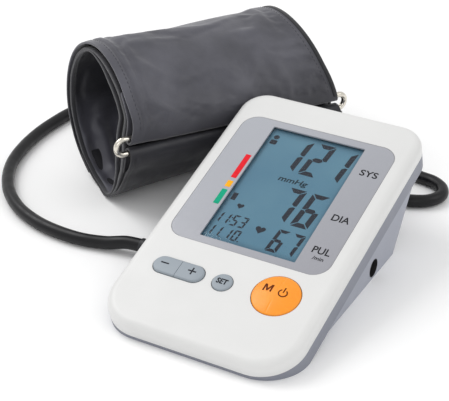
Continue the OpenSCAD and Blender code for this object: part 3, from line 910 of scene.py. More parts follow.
CUFF_A, CUFF_L = 38.2, 148.0
CUFF_B_NEAR, CUFF_B_FAR = 47.7, 43.2
CUFF_Z = 43.3
CUFF_LEAN = math.tan(math.radians(16.7))
RING_Y, RING_S, RING_Z = -40.0, 70.0, 44.0
RING_SLOPE = math.radians(5.2)
RING_HALF = 4.8
FOLD_R = 3.05
FLAP_REACH, LOOP_REACH, LOOP_TUCK = 24, 18, 16
INSIDE_OFF = -1.2
SHEET_T, PATCH_T = 1.3, 0.7
# Columns of the sheets, counted along the strip: how far their trims run, and where the
# flap's fold round the ring is held while it settles; and rows in from a hem
FLAP_TAPE_END, LOOP_TAPE_END = 102, 76
FLAP_STITCH_END, LOOP_STITCH_END = 100, 70
FOLD_EASED, FOLD_HELD = 91, 97
HEM_HELD, HEM_EASED = 12, 16


def bar_height(s, side):
    """Height of one bar of the metal ring at s along the cuff."""
    return RING_Z - (s - RING_S) * math.tan(RING_SLOPE) + side * RING_HALF / math.cos(RING_SLOPE)


def near_end(y, z):
    """Where the near end lies: its lower front reaches out, towards the ring's end."""
    return -3.6 * ease((68 - z) / 18) * ease((8 - y) / 20)


def far_end(z):
    return CUFF_L - (z - CUFF_Z) * CUFF_LEAN


def half_height(s):
    """Half the height of the roll, which is a little larger at its near end."""
    return CUFF_B_NEAR + (CUFF_B_FAR - CUFF_B_NEAR) * s / CUFF_L


def oval(angle, off, s):
    """Point of the roll's section at s: angle in degrees from its back, off outwards."""
    a = math.radians(angle)
    b = half_height(s)
    narrow = 1 - 0.07 * ease(-math.sin(a)) * (1 - s / CUFF_L)
    return (CUFF_A + off) * math.cos(a) * narrow, 0.3 + b + (b + off) * math.sin(a)


def front_y(z, off, s):
    """Where the front of the section lies at a height."""
    b = half_height(s)
    a = math.degrees(math.asin(max(-1.0, min(1.0, (z - 0.3 - b) / (b + off)))))
    return oval(180 - a, off, s)[0]


def hill(x, centre, width):
    return math.exp(-(((x - centre) / width) ** 2))


def ends_dense(count, dense=0.72):
    """Shares from 0 to 1, closer together near both ends."""
    t = np.linspace(0, 1, count)
    return t - dense * np.sin(2 * math.pi * t) / (2 * math.pi)


def run_along(path):
    """How far along a path each of its points lies."""
    steps = np.linalg.norm(np.diff(np.array(path), axis=0), axis=1)
    return np.concatenate([[0], np.cumsum(steps)])


def drift(x, y, z=0.0):
    """Smooth wandering value between about -1 and 1."""
    return noise.noise(Vector((x, y, z))) * 2


def section_normals(line):
    """Outward normals of a section given as (y, z) points that run back, top, front."""
    d = np.gradient(line, axis=0)
    n = np.stack([d[:, 1], -d[:, 0]], axis=1)
    return n / np.maximum(np.linalg.norm(n, axis=1, keepdims=True), 1e-9)


def to_world(points):
    """Points in the cuff's own frame, in mm, as points of the row frame in metres."""
    flat = points.reshape(-1, 3) * MM
    m = np.array(cuff_matrix())
    return (flat @ m[:3, :3].T + m[:3, 3]).reshape(points.shape)


def fold_round(s, side, start, stop):
    """The cloth's turn round one bar of the ring, fuller where the bars are far from their ends."""
    full = 0.5 * ease((s - 8) / 18) * ease((CUFF_L - 12 - s) / 18)
    bar = bar_height(s, side) - side * full
    return [
        (RING_Y + FOLD_R * math.cos(a), bar + FOLD_R * math.sin(a))
        for a in np.radians(np.linspace(start, stop, 12, endpoint=False))
    ]


def run_to_bar(s, leave, bar, off, count):
    """The cloth from the height where it leaves the roll to the ring's bar."""
    line = []
    for t in np.linspace(0, 1, count, endpoint=False):
        z = leave + (bar - leave) * t
        y = front_y(z, off, s)
        line.append((y + (RING_Y - FOLD_R - y) * ease(t), z))
    return line


def run_inside(s, bar, reach, count):
    """The cloth from the ring's bar back inside, up or down by reach."""
    line = []
    for t in np.linspace(0, 1, count):
        z = bar + reach * t
        y = front_y(z, INSIDE_OFF, s)
        line.append((RING_Y + FOLD_R + (y - RING_Y - FOLD_R) * ease(t * 2), z))
    return line


def flap_section(s):
    """Section of the flap: over the top, down the front, round the upper bar, back up inside."""
    off, b = 2.4, half_height(s)
    bar = bar_height(s, 1)
    leave = bar + FLAP_REACH
    join_angle = 180 - math.degrees(math.asin((leave - 0.3 - b) / (b + off)))
    line = [
        oval(a, 0.9 + (off - 0.9) * ease((a + 62) / 34), s)
        for a in np.linspace(-62, join_angle, 84, endpoint=False)
    ]
    line += run_to_bar(s, leave, bar, off, 18)
    line += fold_round(s, 1, 180, 360)
    return np.array(line + run_inside(s, bar, FLAP_REACH, 10))


def loop_section(s):
    """Section of the strip's ring end: under the cuff, up the front, over the lower bar."""
    b = half_height(s)
    bar = bar_height(s, -1)
    leave = bar - LOOP_REACH
    start = 180 + math.degrees(math.asin((0.3 + b - leave) / (b + 1)))
    line = [
        oval(a, -0.4 + 1.5 * ease((240 - a) / 50), s)
        for a in np.linspace(316, start, 60, endpoint=False)
    ]
    line += run_to_bar(s, leave, bar, 0.8, 16)
    line += fold_round(s, -1, 180, 0)
    return np.array(line + run_inside(s, bar, -LOOP_TUCK, 8))


def build_sheet(name, section, relief, rows):
    """Sheet over a section that changes along the cuff; relief(arc, s, end, y, z) is its height."""
    grid, uv = [], []
    for share in ends_dense(rows):
        line = section(share * CUFF_L)
        out = section_normals(line)
        if out[10] @ (line[10] - np.array([0, CUFF_Z])) < 0:
            out = -out
        arc = run_along(line)
        column, column_uv = [], []
        for (y, z), n, u in zip(line, out, arc):
            start, end = near_end(y, z), far_end(z)
            s = start + share * (end - start)
            lift = relief(u, s - start, end - start, y, z)
            column.append((s, y + n[0] * lift, z + n[1] * lift))
            column_uv.append((u * MM, s * MM))
        grid.append(column)
        uv.append(column_uv)
    grid, uv = np.array(grid).swapaxes(0, 1), np.array(uv).swapaxes(0, 1)
    return grid_mesh(name, to_world(grid), uv=uv), grid


def flap_relief(arc, s, end, y, z):
    """Hems at both ends, gathers by the far hem, a pull above the ring and slow waves."""
    front = ease((arc - 130) / 25) * (1 - ease((arc - 222) / 12))
    on = 1 - ease((arc - 222) / 10)
    near = 0.4 * hill(s, 3.6, 1.8) - 1.0 * hill(s, 6.8, 0.9) + 0.7 * hill(s, 9.2, 1.4)
    near -= 0.5 * hill(s, 13, 1.8)
    back = end - s
    far = 0.3 * hill(back, 6.5, 2) - 0.4 * hill(back, 4.6, 0.9)
    gather = math.sin(arc * 0.62 + 1.2 * math.sin(arc * 0.13)) * (0.5 + 0.5 * drift(arc / 9, 3))
    fold = 1.9 * gather * front * ease((back - 5) / 4) * math.exp(-max(0.0, back - 9) / 9)
    above = z - bar_height(s, 1)
    in_front = 1 if y < 0 else 0
    pull = -1.5 * hill(s, 12, 8) * hill(above, 13, 7) * in_front
    crease = 0.7 * hill(above - 0.35 * s, 4, 3.2) * math.exp(-s / 26) * in_front
    tug = 0.9 * math.sin((arc - 0.9 * s) * 0.3) * hill(s, 18, 16) * hill(arc, 205, 22)
    slow = 0.8 * drift(arc / 38, s / 46, 5) + 0.35 * drift(arc / 17, s / 24, 9)
    clear_of_bar = ease((abs(above) - 1) / 8) if in_front else 1.0
    loose = fold + pull + crease + tug + slow * ease(s / 16) * ease(back / 12)
    return on * (near + far + loose) * clear_of_bar


def loop_relief(arc, s, end, y, z):
    """Hems at both ends, soft pulls from the ring's ends down towards the floor."""
    back = end - s
    low = ease((z - 3) / 12)
    near = 0.35 * hill(s, 1.3, 1.2) + 0.3 * hill(s, 7.2, 1.4) - 0.3 * hill(s, 4.2, 1.2)
    far = -0.3 * hill(back, 4.6, 1)
    slant = 0.8 * math.sin(s * 0.3 + 0.22 * z) * (hill(s, 14, 14) + hill(back, 12, 14))
    slow = 0.7 * drift(arc / 26, s / 34, 21)
    top = 1 - ease((z - bar_height(s, -1) + 3) / 3)
    return low * top * (near + far + (slant * hill(z, 22, 11) + slow) * ease(s / 9))


def front_share(angle):
    """How much of the front a direction faces, from 0 to 1."""
    return ease((95 - abs((angle % 360) - 160)) / 60)


def top_share(angle):
    return hill(angle % 360, 90, 32)


def body_outer(angle, s):
    """How far inside the outline the padded body's outer face lies."""
    gap = (2.4 + 1.9 * math.exp(-s / 45)) * front_share(angle) + 0.9 * top_share(angle)
    return 0.3 - gap - 1.2 * (1 - math.exp(-max(0.0, s) / 30))


def wall(angle, s):
    """Thickness of the padded body; its layers stand apart at the near end's front."""
    near = math.exp(-max(0.0, s) / 30)
    return 3.6 + (7.4 * front_share(angle) - 1.8) * near


def lining_relief(angle, s):
    """Creases of the lining: gathers that fan out from below the ring, and soft long folds."""
    turn = (angle + 180) % 360 - 180
    low = ease((turn + 124) / 26) * ease((-8 - turn) / 34)
    reach = ease((s - 2) / 6) * (1 - ease((s - 36) / 26))
    fan = math.sin(s * (0.34 - 0.0016 * turn) + 0.9 * drift(turn / 40, 2.0) + 0.6)
    folds = 1.9 * (0.35 + fan) * low * reach
    fade = ease((s - 1) / 7) * (1 - ease((s - 80) / 60))
    for centre, width, height in (
        (-34, 5, 1.2), (-72, 6, 1.2), (40, 7, 0.5), (75, 8, 0.4), (195, 6, 0.9), (222, 5, 1.0),
    ):
        around = (angle - centre - 0.15 * s + 180) % 360 - 180
        folds += height * math.exp(-((around / width) ** 2)) * fade
    return folds + 0.6 * drift(angle / 30, s / 35, 31) * ease(s / 10)


def body_place(angle, inner, share):
    """Point of the padded body's inner or outer face, from its near (0) to its far end (1)."""
    y, z = oval(angle, -3, share * CUFF_L)
    start, end = near_end(y, z) + 3.0, far_end(z) - 1.5
    s = start + share * (end - start)
    off = body_outer(angle, s) + 0.5 * math.sin(math.pi * share)
    if inner:
        off = body_outer(angle, s) - wall(angle, s) - lining_relief(angle, s)
    y, z = oval(angle, off, s)
    return s, y, z


def build_body(name):
    """Padded inner roll: bladder between cover and lining, as one closed stuffed ring."""
    columns, rows, turns = 180, 40, []
    shares = ends_dense(rows, 0.5)
    for i in range(columns):
        angle = 360 * i / columns
        turns.append(
            [body_place(angle, False, share) for share in shares]
            + [body_place(angle, True, share) for share in shares[::-1]]
        )
    grid = np.array(turns)
    uv = np.zeros((columns, 2 * rows, 2))
    uv[..., 0] = (np.arange(columns) * 2 * math.pi * 38 / columns * MM)[:, None]
    uv[..., 1] = grid[..., 0] * MM
    return grid_mesh(name, to_world(grid), True, True, flip=True, uv=uv), grid


def sweep(name, path, normals, axials, wides, deep, closed, power=0.55, sides=14):
    """Tube of a soft-cornered section along a path; its widths run along the normals."""
    rings = []
    for p, n, x, wide in zip(path, normals, axials, wides):
        ring = []
        for k in range(sides):
            a = 2 * math.pi * k / sides
            c, d = math.cos(a), math.sin(a)
            u = math.copysign(abs(c) ** power, c) * wide / 2
            w = math.copysign(abs(d) ** power, d) * deep / 2
            ring.append(np.array(p) + np.array(n) * u + np.array(x) * w)
        rings.append(ring)
    rings = np.array(rings)
    arc = run_along(path)
    uv = np.zeros((*rings.shape[:2], 2))
    uv[..., 0] = arc[:, None] * MM
    uv[..., 1] = np.linspace(0, wides[0] + deep, sides)[None, :] * 2 * MM
    obj = grid_mesh(name, to_world(rings), closed, True, uv=uv)
    if not closed:
        with editing(obj, "DESELECT"):
            bpy.ops.mesh.select_non_manifold()
            bpy.ops.mesh.edge_face_add()
    return merge(obj)


def rim_binding(name, far, inner=False):
    """Binding tape round one rim of the padded body, thin where the layers lie flat."""
    path, out, along, wides = [], [], [], []
    for i in range(160):
        angle = 360 * i / 160
        s, y, z = body_place(angle, inner, 1.0 if far else 0.0)
        wave = 0.25 * drift(angle / 14, 40 if far else 50, 7 if inner else 0)
        wide = 2.9 if far else 1.5 + (1.1 if inner else 1.7) * front_share(angle)
        inset = wide * (-0.35 if inner else 0.4)
        a = math.radians(angle)
        n = np.array((0, math.cos(a), math.sin(a)))
        path.append(np.array((s + (0.3 if far else -0.9), y, z)) - n * (inset - wave))
        out.append(n)
        along.append((1, 0, 0))
        wides.append(wide)
    return sweep(name, path, out, along, wides, 2.6, True)


def edge_binding(name, grid, last, wide, deep, inset):
    """Binding tape along the far edge of a sheet, up to one of its columns."""
    edge = grid[:last, -1]
    inner = grid[:last, -4]
    unit = lambda rows: rows / np.linalg.norm(rows, axis=1, keepdims=True)
    axial = unit(edge - inner)
    normal = unit(np.cross(unit(np.gradient(edge, axis=0)), axial))
    return sweep(name, edge - axial * inset, normal, axial, [wide] * len(edge), deep, False)


def finer(obj):
    """One subdivision, after whatever modifiers the piece has, and smooth shading."""
    modifier = obj.modifiers.new("finer", "SUBSURF")
    modifier.levels = modifier.render_levels = 1
    apply_all(obj)
    take(obj)
    bpy.ops.object.shade_smooth()
    return obj


def thicken(obj, thickness):
    solid = obj.modifiers.new("thick", "SOLIDIFY")
    solid.thickness = thickness * MM
    solid.offset = 0
    return finer(obj)


def rest_on_floor(obj, lowest=0.05 * MM):
    """Flattens whatever would reach through the floor."""
    for vertex in obj.data.vertices:
        vertex.co.z = max(vertex.co.z, lowest)


def keep_clear(obj, other, gap=0.4, reach=4.0):
    """Pushes a cloth out of its neighbour, until it lies a gap in mm in front of it."""
    mesh = other.data
    tree = BVHTree.FromPolygons(
        [other.matrix_world @ v.co for v in mesh.vertices],
        [tuple(face.vertices) for face in mesh.polygons],
    )
    for vertex in obj.data.vertices:
        place, normal, _, _ = tree.find_nearest(vertex.co, reach * MM)
        if place is not None:
            front = (vertex.co - place).dot(normal)
            if front < gap * MM:
                vertex.co += normal * (gap * MM - front)


def settle(obj, held, swell, pressure, cap, frames=20):
    """Cloth simulation: the free part swells, wrinkles and settles, by at most cap in mm."""
    scene = bpy.context.scene
    mesh = obj.data
    start = np.zeros(len(mesh.vertices) * 3)
    mesh.vertices.foreach_get("co", start)
    start = start.reshape(-1, 3)
    group = obj.vertex_groups.new(name="held")
    for index, weight in held.items():
        group.add([index], weight, "REPLACE")
    cloth = obj.modifiers.new("cloth", "CLOTH")
    for setting, value in dict(
        quality=6, mass=0.15, tension_stiffness=20, compression_stiffness=20,
        shear_stiffness=8, bending_stiffness=0.6, vertex_group_mass="held",
        pin_stiffness=1, shrink_min=-swell, use_pressure=pressure != 0,
        uniform_pressure_force=pressure,
    ).items():
        setattr(cloth.settings, setting, value)
    cloth.settings.effector_weights.gravity = 0
    cloth.collision_settings.use_collision = False
    cloth.point_cache.frame_start = 1
    cloth.point_cache.frame_end = frames
    for f in range(1, frames + 1):
        scene.frame_set(f)
    solved = obj.evaluated_get(bpy.context.evaluated_depsgraph_get()).to_mesh()
    moved = np.zeros_like(start).ravel()
    solved.vertices.foreach_get("co", moved)
    moved = moved.reshape(-1, 3) - start
    far = np.linalg.norm(moved, axis=1, keepdims=True)
    print(obj.name, "moved by up to", round(far.max() / MM, 2), "mm")
    limit = cap * MM
    moved *= np.where(far > 0, limit * np.tanh(far / limit) / np.maximum(far, 1e-12), 0)
    obj.modifiers.remove(cloth)
    obj.vertex_groups.clear()
    scene.frame_set(1)
    mesh.vertices.foreach_set("co", (start + moved).ravel())
    mesh.update()
    return obj


# ---------------------------------------------------------------- stitches


def stitch_rows(name, surface, rows, material, pitch=2.7, length=1.9, thick=0.42):
    """Rows of thread lying on a surface; each row is a list of places in the row frame."""
    free()
    bpy.ops.mesh.primitive_uv_sphere_add(segments=6, ring_count=4, radius=0.5 * MM)
    pattern = named("stitch")
    shape = np.array([v.co for v in pattern.data.vertices]) / MM
    faces = [tuple(p.vertices) for p in pattern.data.polygons]
    bpy.data.objects.remove(pattern)
    points, quads = [], []
    for row in rows:
        row = np.array(row)
        arc = run_along(row)
        count = int(arc[-1] / (pitch * MM))
        for k in range(count):
            at = (k + 0.5) * pitch * MM
            place = Vector([np.interp(at, arc, row[:, i]) for i in range(3)])
            ahead = Vector([np.interp(at + 0.5 * MM, arc, row[:, i]) for i in range(3)])
            hit, spot, normal, _ = surface.closest_point_on_mesh(place)
            if not hit:
                continue
            run = (ahead - place).normalized()
            run = (run - normal * run.dot(normal)).normalized()
            side = normal.cross(run)
            base = len(points)
            for x, y, z in shape:
                points.append(spot + (run * z * length + side * x * thick + normal * y * thick) * MM)
            quads += [tuple(i + base for i in f) for f in faces]
    mesh = bpy.data.meshes.new(name)
    mesh.from_pydata([tuple(p) for p in points], [], quads)
    return paint(smooth(merge(new_object(name, mesh)), 60), material)


# ---------------------------------------------------------------- finishes

WHITE = srgb(218, 218, 217)
# Darker copy of the case grey, painted on the band under the seam as painted shade.
SHADED_BAND_GREY = srgb(128, 131, 142)
GREY_WALL = srgb(160, 163, 174)
KEY_GREY = srgb(146, 155, 163)
ORANGE = srgb(250, 152, 30)
NYLON_DARK = srgb(68, 68, 75)
NYLON_LIGHT = srgb(88, 88, 96)


def panel_finish():
    """Silver printed film: fine metallic flake, and painted light that makes it lighter towards the
    upper left and darker towards the lower right.
    """
    made = Finish("silver_film", srgb(130, 132, 138), 0.38, Metallic=0.12, Coat_Weight=0.1)
    place = made.axes(made.place())
    # Painted light: the film is lighter towards the upper left and darker towards the lower right.
    shade = made.spread(made.reckon("SUBTRACT", place["Y"], place["X"]), 0, 1, -0.09, 0.12)
    flake = made.spread(made.noise(5200.0, 1.0), 0, 0.35, 0.45, 0.75)
    base = made.blend_colours(shade, srgb(145, 145, 152), srgb(169, 172, 179))
    made.tone(flake, base, srgb(184, 185, 191))
    made.worn(0.3, 0.42, 300.0)
    made.grain(5200.0, 0.1, 0.00002)
    return made.material


def lcd_finish():
    """Blue-grey liquid crystal, with painted shade that makes its edges, sunk under the panel, a
    little darker than its middle.
    """
    made = Finish("liquid_crystal", srgb(104, 138, 156), 0.45, Specular_IOR_Level=0.2)
    centre = made.node("ShaderNodeMapping")
    centre.vector_type = "POINT"
    low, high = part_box("lcd_glass")
    middle = [(a + b) / 2 for a, b in zip(low, high)]
    half = [(b - a) / 2 for a, b in zip(low, high)]
    centre.inputs["Location"].default_value = (-middle[0] / half[0], -middle[1] / half[1], 0)
    centre.inputs["Scale"].default_value = (1 / half[0], 1 / half[1], 0)
    made.link(made.place(), centre.inputs["Vector"])
    edge = made.axes(centre.outputs["Vector"])
    far = made.reckon("MAXIMUM", *(made.reckon("ABSOLUTE", edge[axis]) for axis in ("X", "Y")))
    # Painted shade: darker towards the glass's edges, where it lies sunk under the panel.
    rim = made.spread(far, 0, 1, 0.84, 1.0)
    cloud = made.spread(made.noise(26.0, 3.0), 0, 1, 0.35, 0.65)
    base = made.blend_colours(cloud, srgb(91, 129, 150), srgb(102, 139, 157))
    made.tone(rim, base, srgb(58, 88, 106))
    made.grain(4000.0, 0.04, 0.00002)
    return made.material


def case_finish():
    """Grey moulding whose band under the seam is painted darker than the wedge wall below it, as
    painted shade.
    """
    made = Finish("grey_shell", SHADED_BAND_GREY, 0.5)
    place = made.axes(made.place())
    back = made.reckon("MULTIPLY_ADD", place["Y"], -math.sin(TILT), FRONT_Y * math.sin(TILT))
    up = made.reckon("MULTIPLY_ADD", place["Z"], math.cos(TILT), back)
    # Painted shade: the band under the seam takes the darker grey, and the wedge wall below it the
    # lighter.
    band = made.spread(up, 0, 1, BAND_FOOT - BAND_BLUR, BAND_FOOT + BAND_BLUR)
    spots = made.spread(made.noise(40.0, 4.0), 0, 0.06)
    tone = made.blend_colours(band, GREY_WALL, SHADED_BAND_GREY)
    made.tone(spots, tone, srgb(110, 113, 124))
    made.worn(0.45, 0.57, 45.0)
    made.grain(1900.0, 0.22, 0.00004)
    return made.material


def printed(name, colour, roughness=0.55):
    """Flat printing ink, hardly shiny."""
    made = Finish(name, colour, roughness, Specular_IOR_Level=0.1)
    made.mottle(500.0, 0.1)
    made.grain(6000.0, 0.08, 0.00001)
    return made.material


def orange_finish():
    made = Finish(
        "orange_moulding", ORANGE, 0.36, Subsurface_Weight=0.12, Subsurface_Scale=0.002
    )
    made.shader.inputs["Subsurface Radius"].default_value = (1.0, 0.4, 0.1)
    made.mottle(70.0, 0.03)
    made.worn(0.32, 0.44, 120.0)
    made.grain(3000.0, 0.08, 0.00003)
    return made.material


def webbing(name, colour):
    """Woven binding tape: ribs across its run."""
    made = Finish(name, colour, 0.72, Sheen_Weight=0.25, Sheen_Roughness=0.5)
    made.mottle(150.0, 0.16)
    made.bump(made.weave("X", TAPE_THREAD), 0.35, 0.0001)
    made.grain(1500.0, 0.2, 0.0001)
    return made.material


def board_finish():
    """Green circuit board with pale tracks in its lacquer."""
    made = Finish("circuit_board", srgb(20, 92, 52), 0.3, Coat_Weight=0.3)
    tracks = made.node("ShaderNodeTexBrick", Scale=260.0)
    tracks.inputs["Mortar Size"].default_value = 0.06
    made.link(made.place(), tracks.inputs["Vector"])
    made.tone(tracks.outputs["Fac"], srgb(20, 92, 52), srgb(58, 132, 84))
    made.grain(1200.0, 0.1, 0.00004)
    return made.material


# ---------------------------------------------------------------- the object

rubber_black = rubber("hose_rubber", srgb(14, 14, 17), 0.36)
add_camera()
hose, hose_exit, hose_length = add_hose(rubber_black)
plug = add_air_plug(rubber("plug_rubber", srgb(38, 39, 42), 0.42))
gland = add_gland(rubber_black)
for piece, node in ((hose, "hose"), (plug, "air_plug"), (gland, "hose_gland")):
    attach(piece, "cuff_set")
    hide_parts(node)

key_plastic = moulded("key_moulding", KEY_GREY, 0.42)
rocker = add_rocker(key_plastic)
set_key = add_set_key(key_plastic)
main_key = add_main_key(orange_finish())
brown_ink = printed("brown_ink", srgb(96, 40, 12))
dark_ink = printed("dark_ink", srgb(40, 42, 48))
main_marks, rocker_marks, set_marks = add_key_marks(brown_ink, dark_ink)
for piece, body, node, slot in (
    (rocker, "rocker", "rocker_key", "grey_key"),
    (set_key, "set_button", "set_key", "grey_key"),
    (main_key, "main_button", "main_key", "orange_key"),
):
    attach(piece, body)
    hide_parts(node)
# Black cup in the jack's recess, as painted shade for the recess's shadow.
jack_shade_liner = add_jack_shade_liner(moulded("shade_liner_black", srgb(16, 16, 18), 0.6))
for piece, body in (
    (main_marks, "main_button"), (rocker_marks, "rocker"), (set_marks, "set_button"),
    (jack_shade_liner, "monitor"),
):
    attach(piece, body)

lcd_ink = printed("lcd_segments", srgb(42, 42, 52), 0.5)
unit_ink = printed("lcd_unit_tone", srgb(28, 48, 58), 0.5)
row_ink = printed("row_ink", srgb(30, 31, 34), 0.45)
scale_inks = (
    printed("scale_red", srgb(222, 32, 44), 0.4), printed("scale_yellow", srgb(250, 172, 30), 0.4),
    printed("scale_green", srgb(16, 160, 124), 0.4),
)
for piece in (*add_display_marks(lcd_ink, unit_ink), *add_panel_marks(row_ink, scale_inks)):
    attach(piece, "monitor")

# The cuff, from the inside out
# Painted shade: the cover and the strip are painted darker near the floor, and the strip's tones are
# a darker copy of the cover's for the lower, shaded strip. Painted light: the lining is painted
# lighter low down.
cover_cloth = nylon("cover_nylon", NYLON_DARK, NYLON_LIGHT, 0.5, 0.3, shade=0.4)
strip_cloth = nylon("strip_nylon", srgb(54, 54, 59), srgb(68, 68, 74), 0.52, 0.06, shade=0.6)
lining_cloth = nylon("lining_nylon", srgb(30, 30, 34), srgb(42, 42, 47), 0.42, 0.12, shade=6.5,
                     rise=(22, 52))
tape = webbing("binding_tape", srgb(44, 44, 49))
dark_tape = webbing("dark_tape", srgb(29, 29, 33))
thread = printed("sewing_thread", srgb(62, 62, 68), 0.7)

body, body_grid = build_body("cuff_inner_roll")
flap, flap_grid = build_sheet("cuff_flap_cloth", flap_section, flap_relief, 72)
loop, loop_grid = build_sheet("ring_loop_cloth", loop_section, loop_relief, 60)



def held_flap(i, j, columns):
    """How firmly a place of the flap is held: its hems and its fold round the bar, fully."""
    rim = min(j, columns - 1 - j)
    if rim < HEM_HELD or i < 4 or i > FOLD_HELD:
        return 1.0
    return 0.35 if rim < HEM_EASED or i > FOLD_EASED else 0.0


def held_body(i, j, columns):
    """How firmly a place of the inner roll is held: only next to its two rims."""
    half = columns // 2
    return 1.0 if min(j % half, half - 1 - j % half) < 2 else 0.0


for piece, grid, hold, swell, pressure, cap in (
    (flap, flap_grid, held_flap, 0.03, 0.0, 1.3), (body, body_grid, held_body, 0.02, 1.5, 0.9),
):
    count_u, count_v = grid.shape[:2]
    weights = {
        i * count_v + j: hold(i, j, count_v) for i in range(count_u) for j in range(count_v)
    }
    settle(piece, {k: w for k, w in weights.items() if w}, swell, pressure, cap)

thicken(flap, SHEET_T)
thicken(loop, SHEET_T)
finer(body)
paint(body, lining_cloth)
paint(flap, cover_cloth)
paint(loop, strip_cloth)
near_tape = rim_binding("near_rim_tape", far=False)
lining_tape = rim_binding("lining_rim_tape", far=False, inner=True)
far_tape = rim_binding("far_rim_tape", far=True)
flap_tape = edge_binding("flap_far_tape", flap_grid, FLAP_TAPE_END, wide=2.5, deep=3.4, inset=1.7)
loop_tape = edge_binding("loop_far_tape", loop_grid, LOOP_TAPE_END, wide=2.3, deep=4.2, inset=1.5)
for piece in (near_tape, lining_tape, far_tape, flap_tape, loop_tape):
    paint(smooth(piece, 60), dark_tape if "far" in piece.name else tape)


def row_at(grid, last, s_from_near=None, s_from_far=None):
    """Places on a sheet at a distance from one of its ends, in the row frame."""
    out = []
    for line in grid[:last]:
        s = line[:, 0]
        at = s[0] + s_from_near if s_from_near is not None else s[-1] - s_from_far
        out.append([at, np.interp(at, s, line[:, 1]), np.interp(at, s, line[:, 2])])
    return to_world(np.array(out))


for piece in (body, flap, loop, near_tape, lining_tape, far_tape, flap_tape, loop_tape):
    rest_on_floor(piece)
keep_clear(flap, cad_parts["bottom_case"])
flap_stitches = stitch_rows("flap_stitching", flap, [
    row_at(flap_grid, FLAP_STITCH_END, s_from_near=4.4),
    row_at(flap_grid, FLAP_STITCH_END, s_from_far=6.2),
], thread)
loop_stitches = stitch_rows("loop_stitching", loop, [
    row_at(loop_grid, LOOP_STITCH_END, s_from_near=4.2),
    row_at(loop_grid, LOOP_STITCH_END, s_from_far=5.8),
], thread)
rest_on_floor(loop_stitches)

# Loop side of the fastening, hidden under the flap
patch_rows, patch_columns = 40, 44
patch_points = []
for i in range(patch_columns):
    angle = -44 + 104 * i / (patch_columns - 1)
    column = []
    for j in range(patch_rows):
        share = j / (patch_rows - 1)
        y, z = oval(angle, 0.75 + 0.15 * drift(i * 0.7, j * 0.7, 3), share * CUFF_L)
        column.append((4 + (far_end(z) - 8) * share, y, z))
    patch_points.append(column)
patch_grid = np.array(patch_points)
patch_uv = np.stack(np.meshgrid(
    np.linspace(0, 0.074, patch_columns), np.linspace(0, 0.14, patch_rows), indexing="ij"
), axis=-1)
patch = grid_mesh("fastening_loops", to_world(patch_grid), uv=patch_uv)
thicken(patch, PATCH_T)
pile = Finish("loop_pile", srgb(30, 30, 33), 0.9, Sheen_Weight=0.6)
pile.mottle(700.0, 0.3)
pile.grain(1400.0, 0.8, 0.0004)
paint(patch, pile.material)

for piece, nodes, slot in (
    (body, ("cuff_cover", "cuff_lining", "cuff_bladder"), "cuff_fabric"),
    (flap, ("cuff_flap",), "cuff_fabric"),
    (loop, ("ring_sleeve",), "cuff_fabric"),
    (patch, ("fastening_patch",), "lining_fabric"),
    *((trim, (), "lining_fabric") for trim in (
        near_tape, far_tape, lining_tape, flap_tape, loop_tape, flap_stitches, loop_stitches,
    )),
):
    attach(piece, "cuff_set")
    if nodes:
        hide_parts(*nodes)


# ---------------------------------------------------------------- finishes of the frame's own nodes

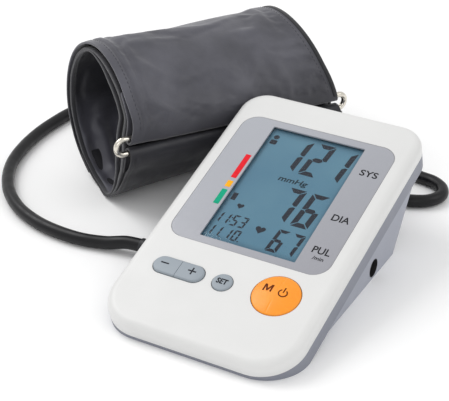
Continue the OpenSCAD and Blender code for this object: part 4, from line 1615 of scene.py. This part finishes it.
natural = moulded("natural_moulding", srgb(220, 220, 215), 0.5)
steel = metal("spring_steel", srgb(200, 200, 196), 0.3)
black_plastic = moulded("black_moulding", srgb(30, 30, 33), 0.45)
finish_of = {
    "top_case": moulded("white_shell", WHITE, 0.4, 0.1),
    "bottom_case": case_finish(),
    "battery_cover": moulded("grey_door", GREY_WALL, 0.5, 0.22, 1900.0),
    "display_panel": panel_finish(),
    "display_window": clear("clear_lens", (0.93, 0.96, 0.97, 1.0), 0.03),
    "lcd_glass": lcd_finish(),
    "lcd_backlight": moulded("light_guide", srgb(222, 236, 240), 0.25),
    "lcd_frame": natural,
    "lcd_contact_strips": rubber("contact_rubber", srgb(220, 150, 158), 0.6),
    "main_board": board_finish(),
    "control_chip": black_plastic,
    "key_switches": black_plastic,
    "buzzer": black_plastic,
    "pressure_sensor": natural,
    "batteries": metal("cell_jacket", srgb(196, 160, 84), 0.32),
    "battery_springs": steel,
    "battery_plates": steel,
    "rubber_feet": rubber("foot_rubber", srgb(34, 34, 36), 0.7),
    "case_screws": metal("screw_zinc", srgb(184, 186, 190), 0.34),
    "dc_jack": moulded("jack_black", srgb(20, 20, 23), 0.4),
    "air_socket": moulded("socket_grey", srgb(70, 72, 78), 0.42),
    "air_manifold": natural,
    "release_valve": metal("valve_can", srgb(176, 178, 182), 0.36),
    "valve_tube": rubber("silicone", srgb(226, 226, 220), 0.4),
    "pump_tube": rubber("silicone_tube", srgb(226, 226, 220), 0.4),
    "pump_motor": metal("motor_can", srgb(188, 190, 194), 0.3),
    "pump_head": natural,
    "pump_sleeve": rubber("pump_foam", srgb(44, 44, 47), 0.8),
    "d_ring": metal("nickel_wire", srgb(222, 217, 206), 0.16),
}
for node, material in finish_of.items():
    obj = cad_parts[node]
    for slot in obj.material_slots:
        slot.material = material

# ---------------------------------------------------------------- floor and light


def add_floor():
    free()
    bpy.ops.mesh.primitive_grid_add(x_subdivisions=4, y_subdivisions=4, size=8)
    floor = named("floor")
    made = Finish("pale_floor", srgb(252, 252, 252), 0.6)
    made.mottle(1.5, 0.004)
    paint(floor, made.material)


def add_softbox(name, place, aim, width, height, power):
    data = bpy.data.lights.new(name, "AREA")
    data.shape = "RECTANGLE"
    data.size, data.size_y = width, height
    data.energy = power
    lamp = new_object(name, data)
    lamp.location = place
    lamp.rotation_euler = (Vector(aim) - Vector(place)).to_track_quat("-Z", "Y").to_euler()


def add_light():
    world = bpy.data.worlds.new("studio")
    bpy.context.scene.world = world
    world.use_nodes = True
    sky = world.node_tree.nodes["Background"]
    sky.inputs["Color"].default_value = (1.0, 1.0, 1.0, 1.0)
    sky.inputs["Strength"].default_value = 0.78
    middle = (0, 0.05, 0.03)
    add_softbox("key_light", (-1.0, 0.05, 1.15), middle, 0.9, 0.9, 8.5)
    add_softbox("front_fill", (0.5, -1.1, 0.7), middle, 0.8, 0.6, 1.5)
    add_softbox("right_fill", (1.0, 0.35, 0.95), middle, 0.8, 0.8, 2.4)
    bpy.context.scene.view_settings.view_transform = "Standard"


add_floor()
add_light()

free()
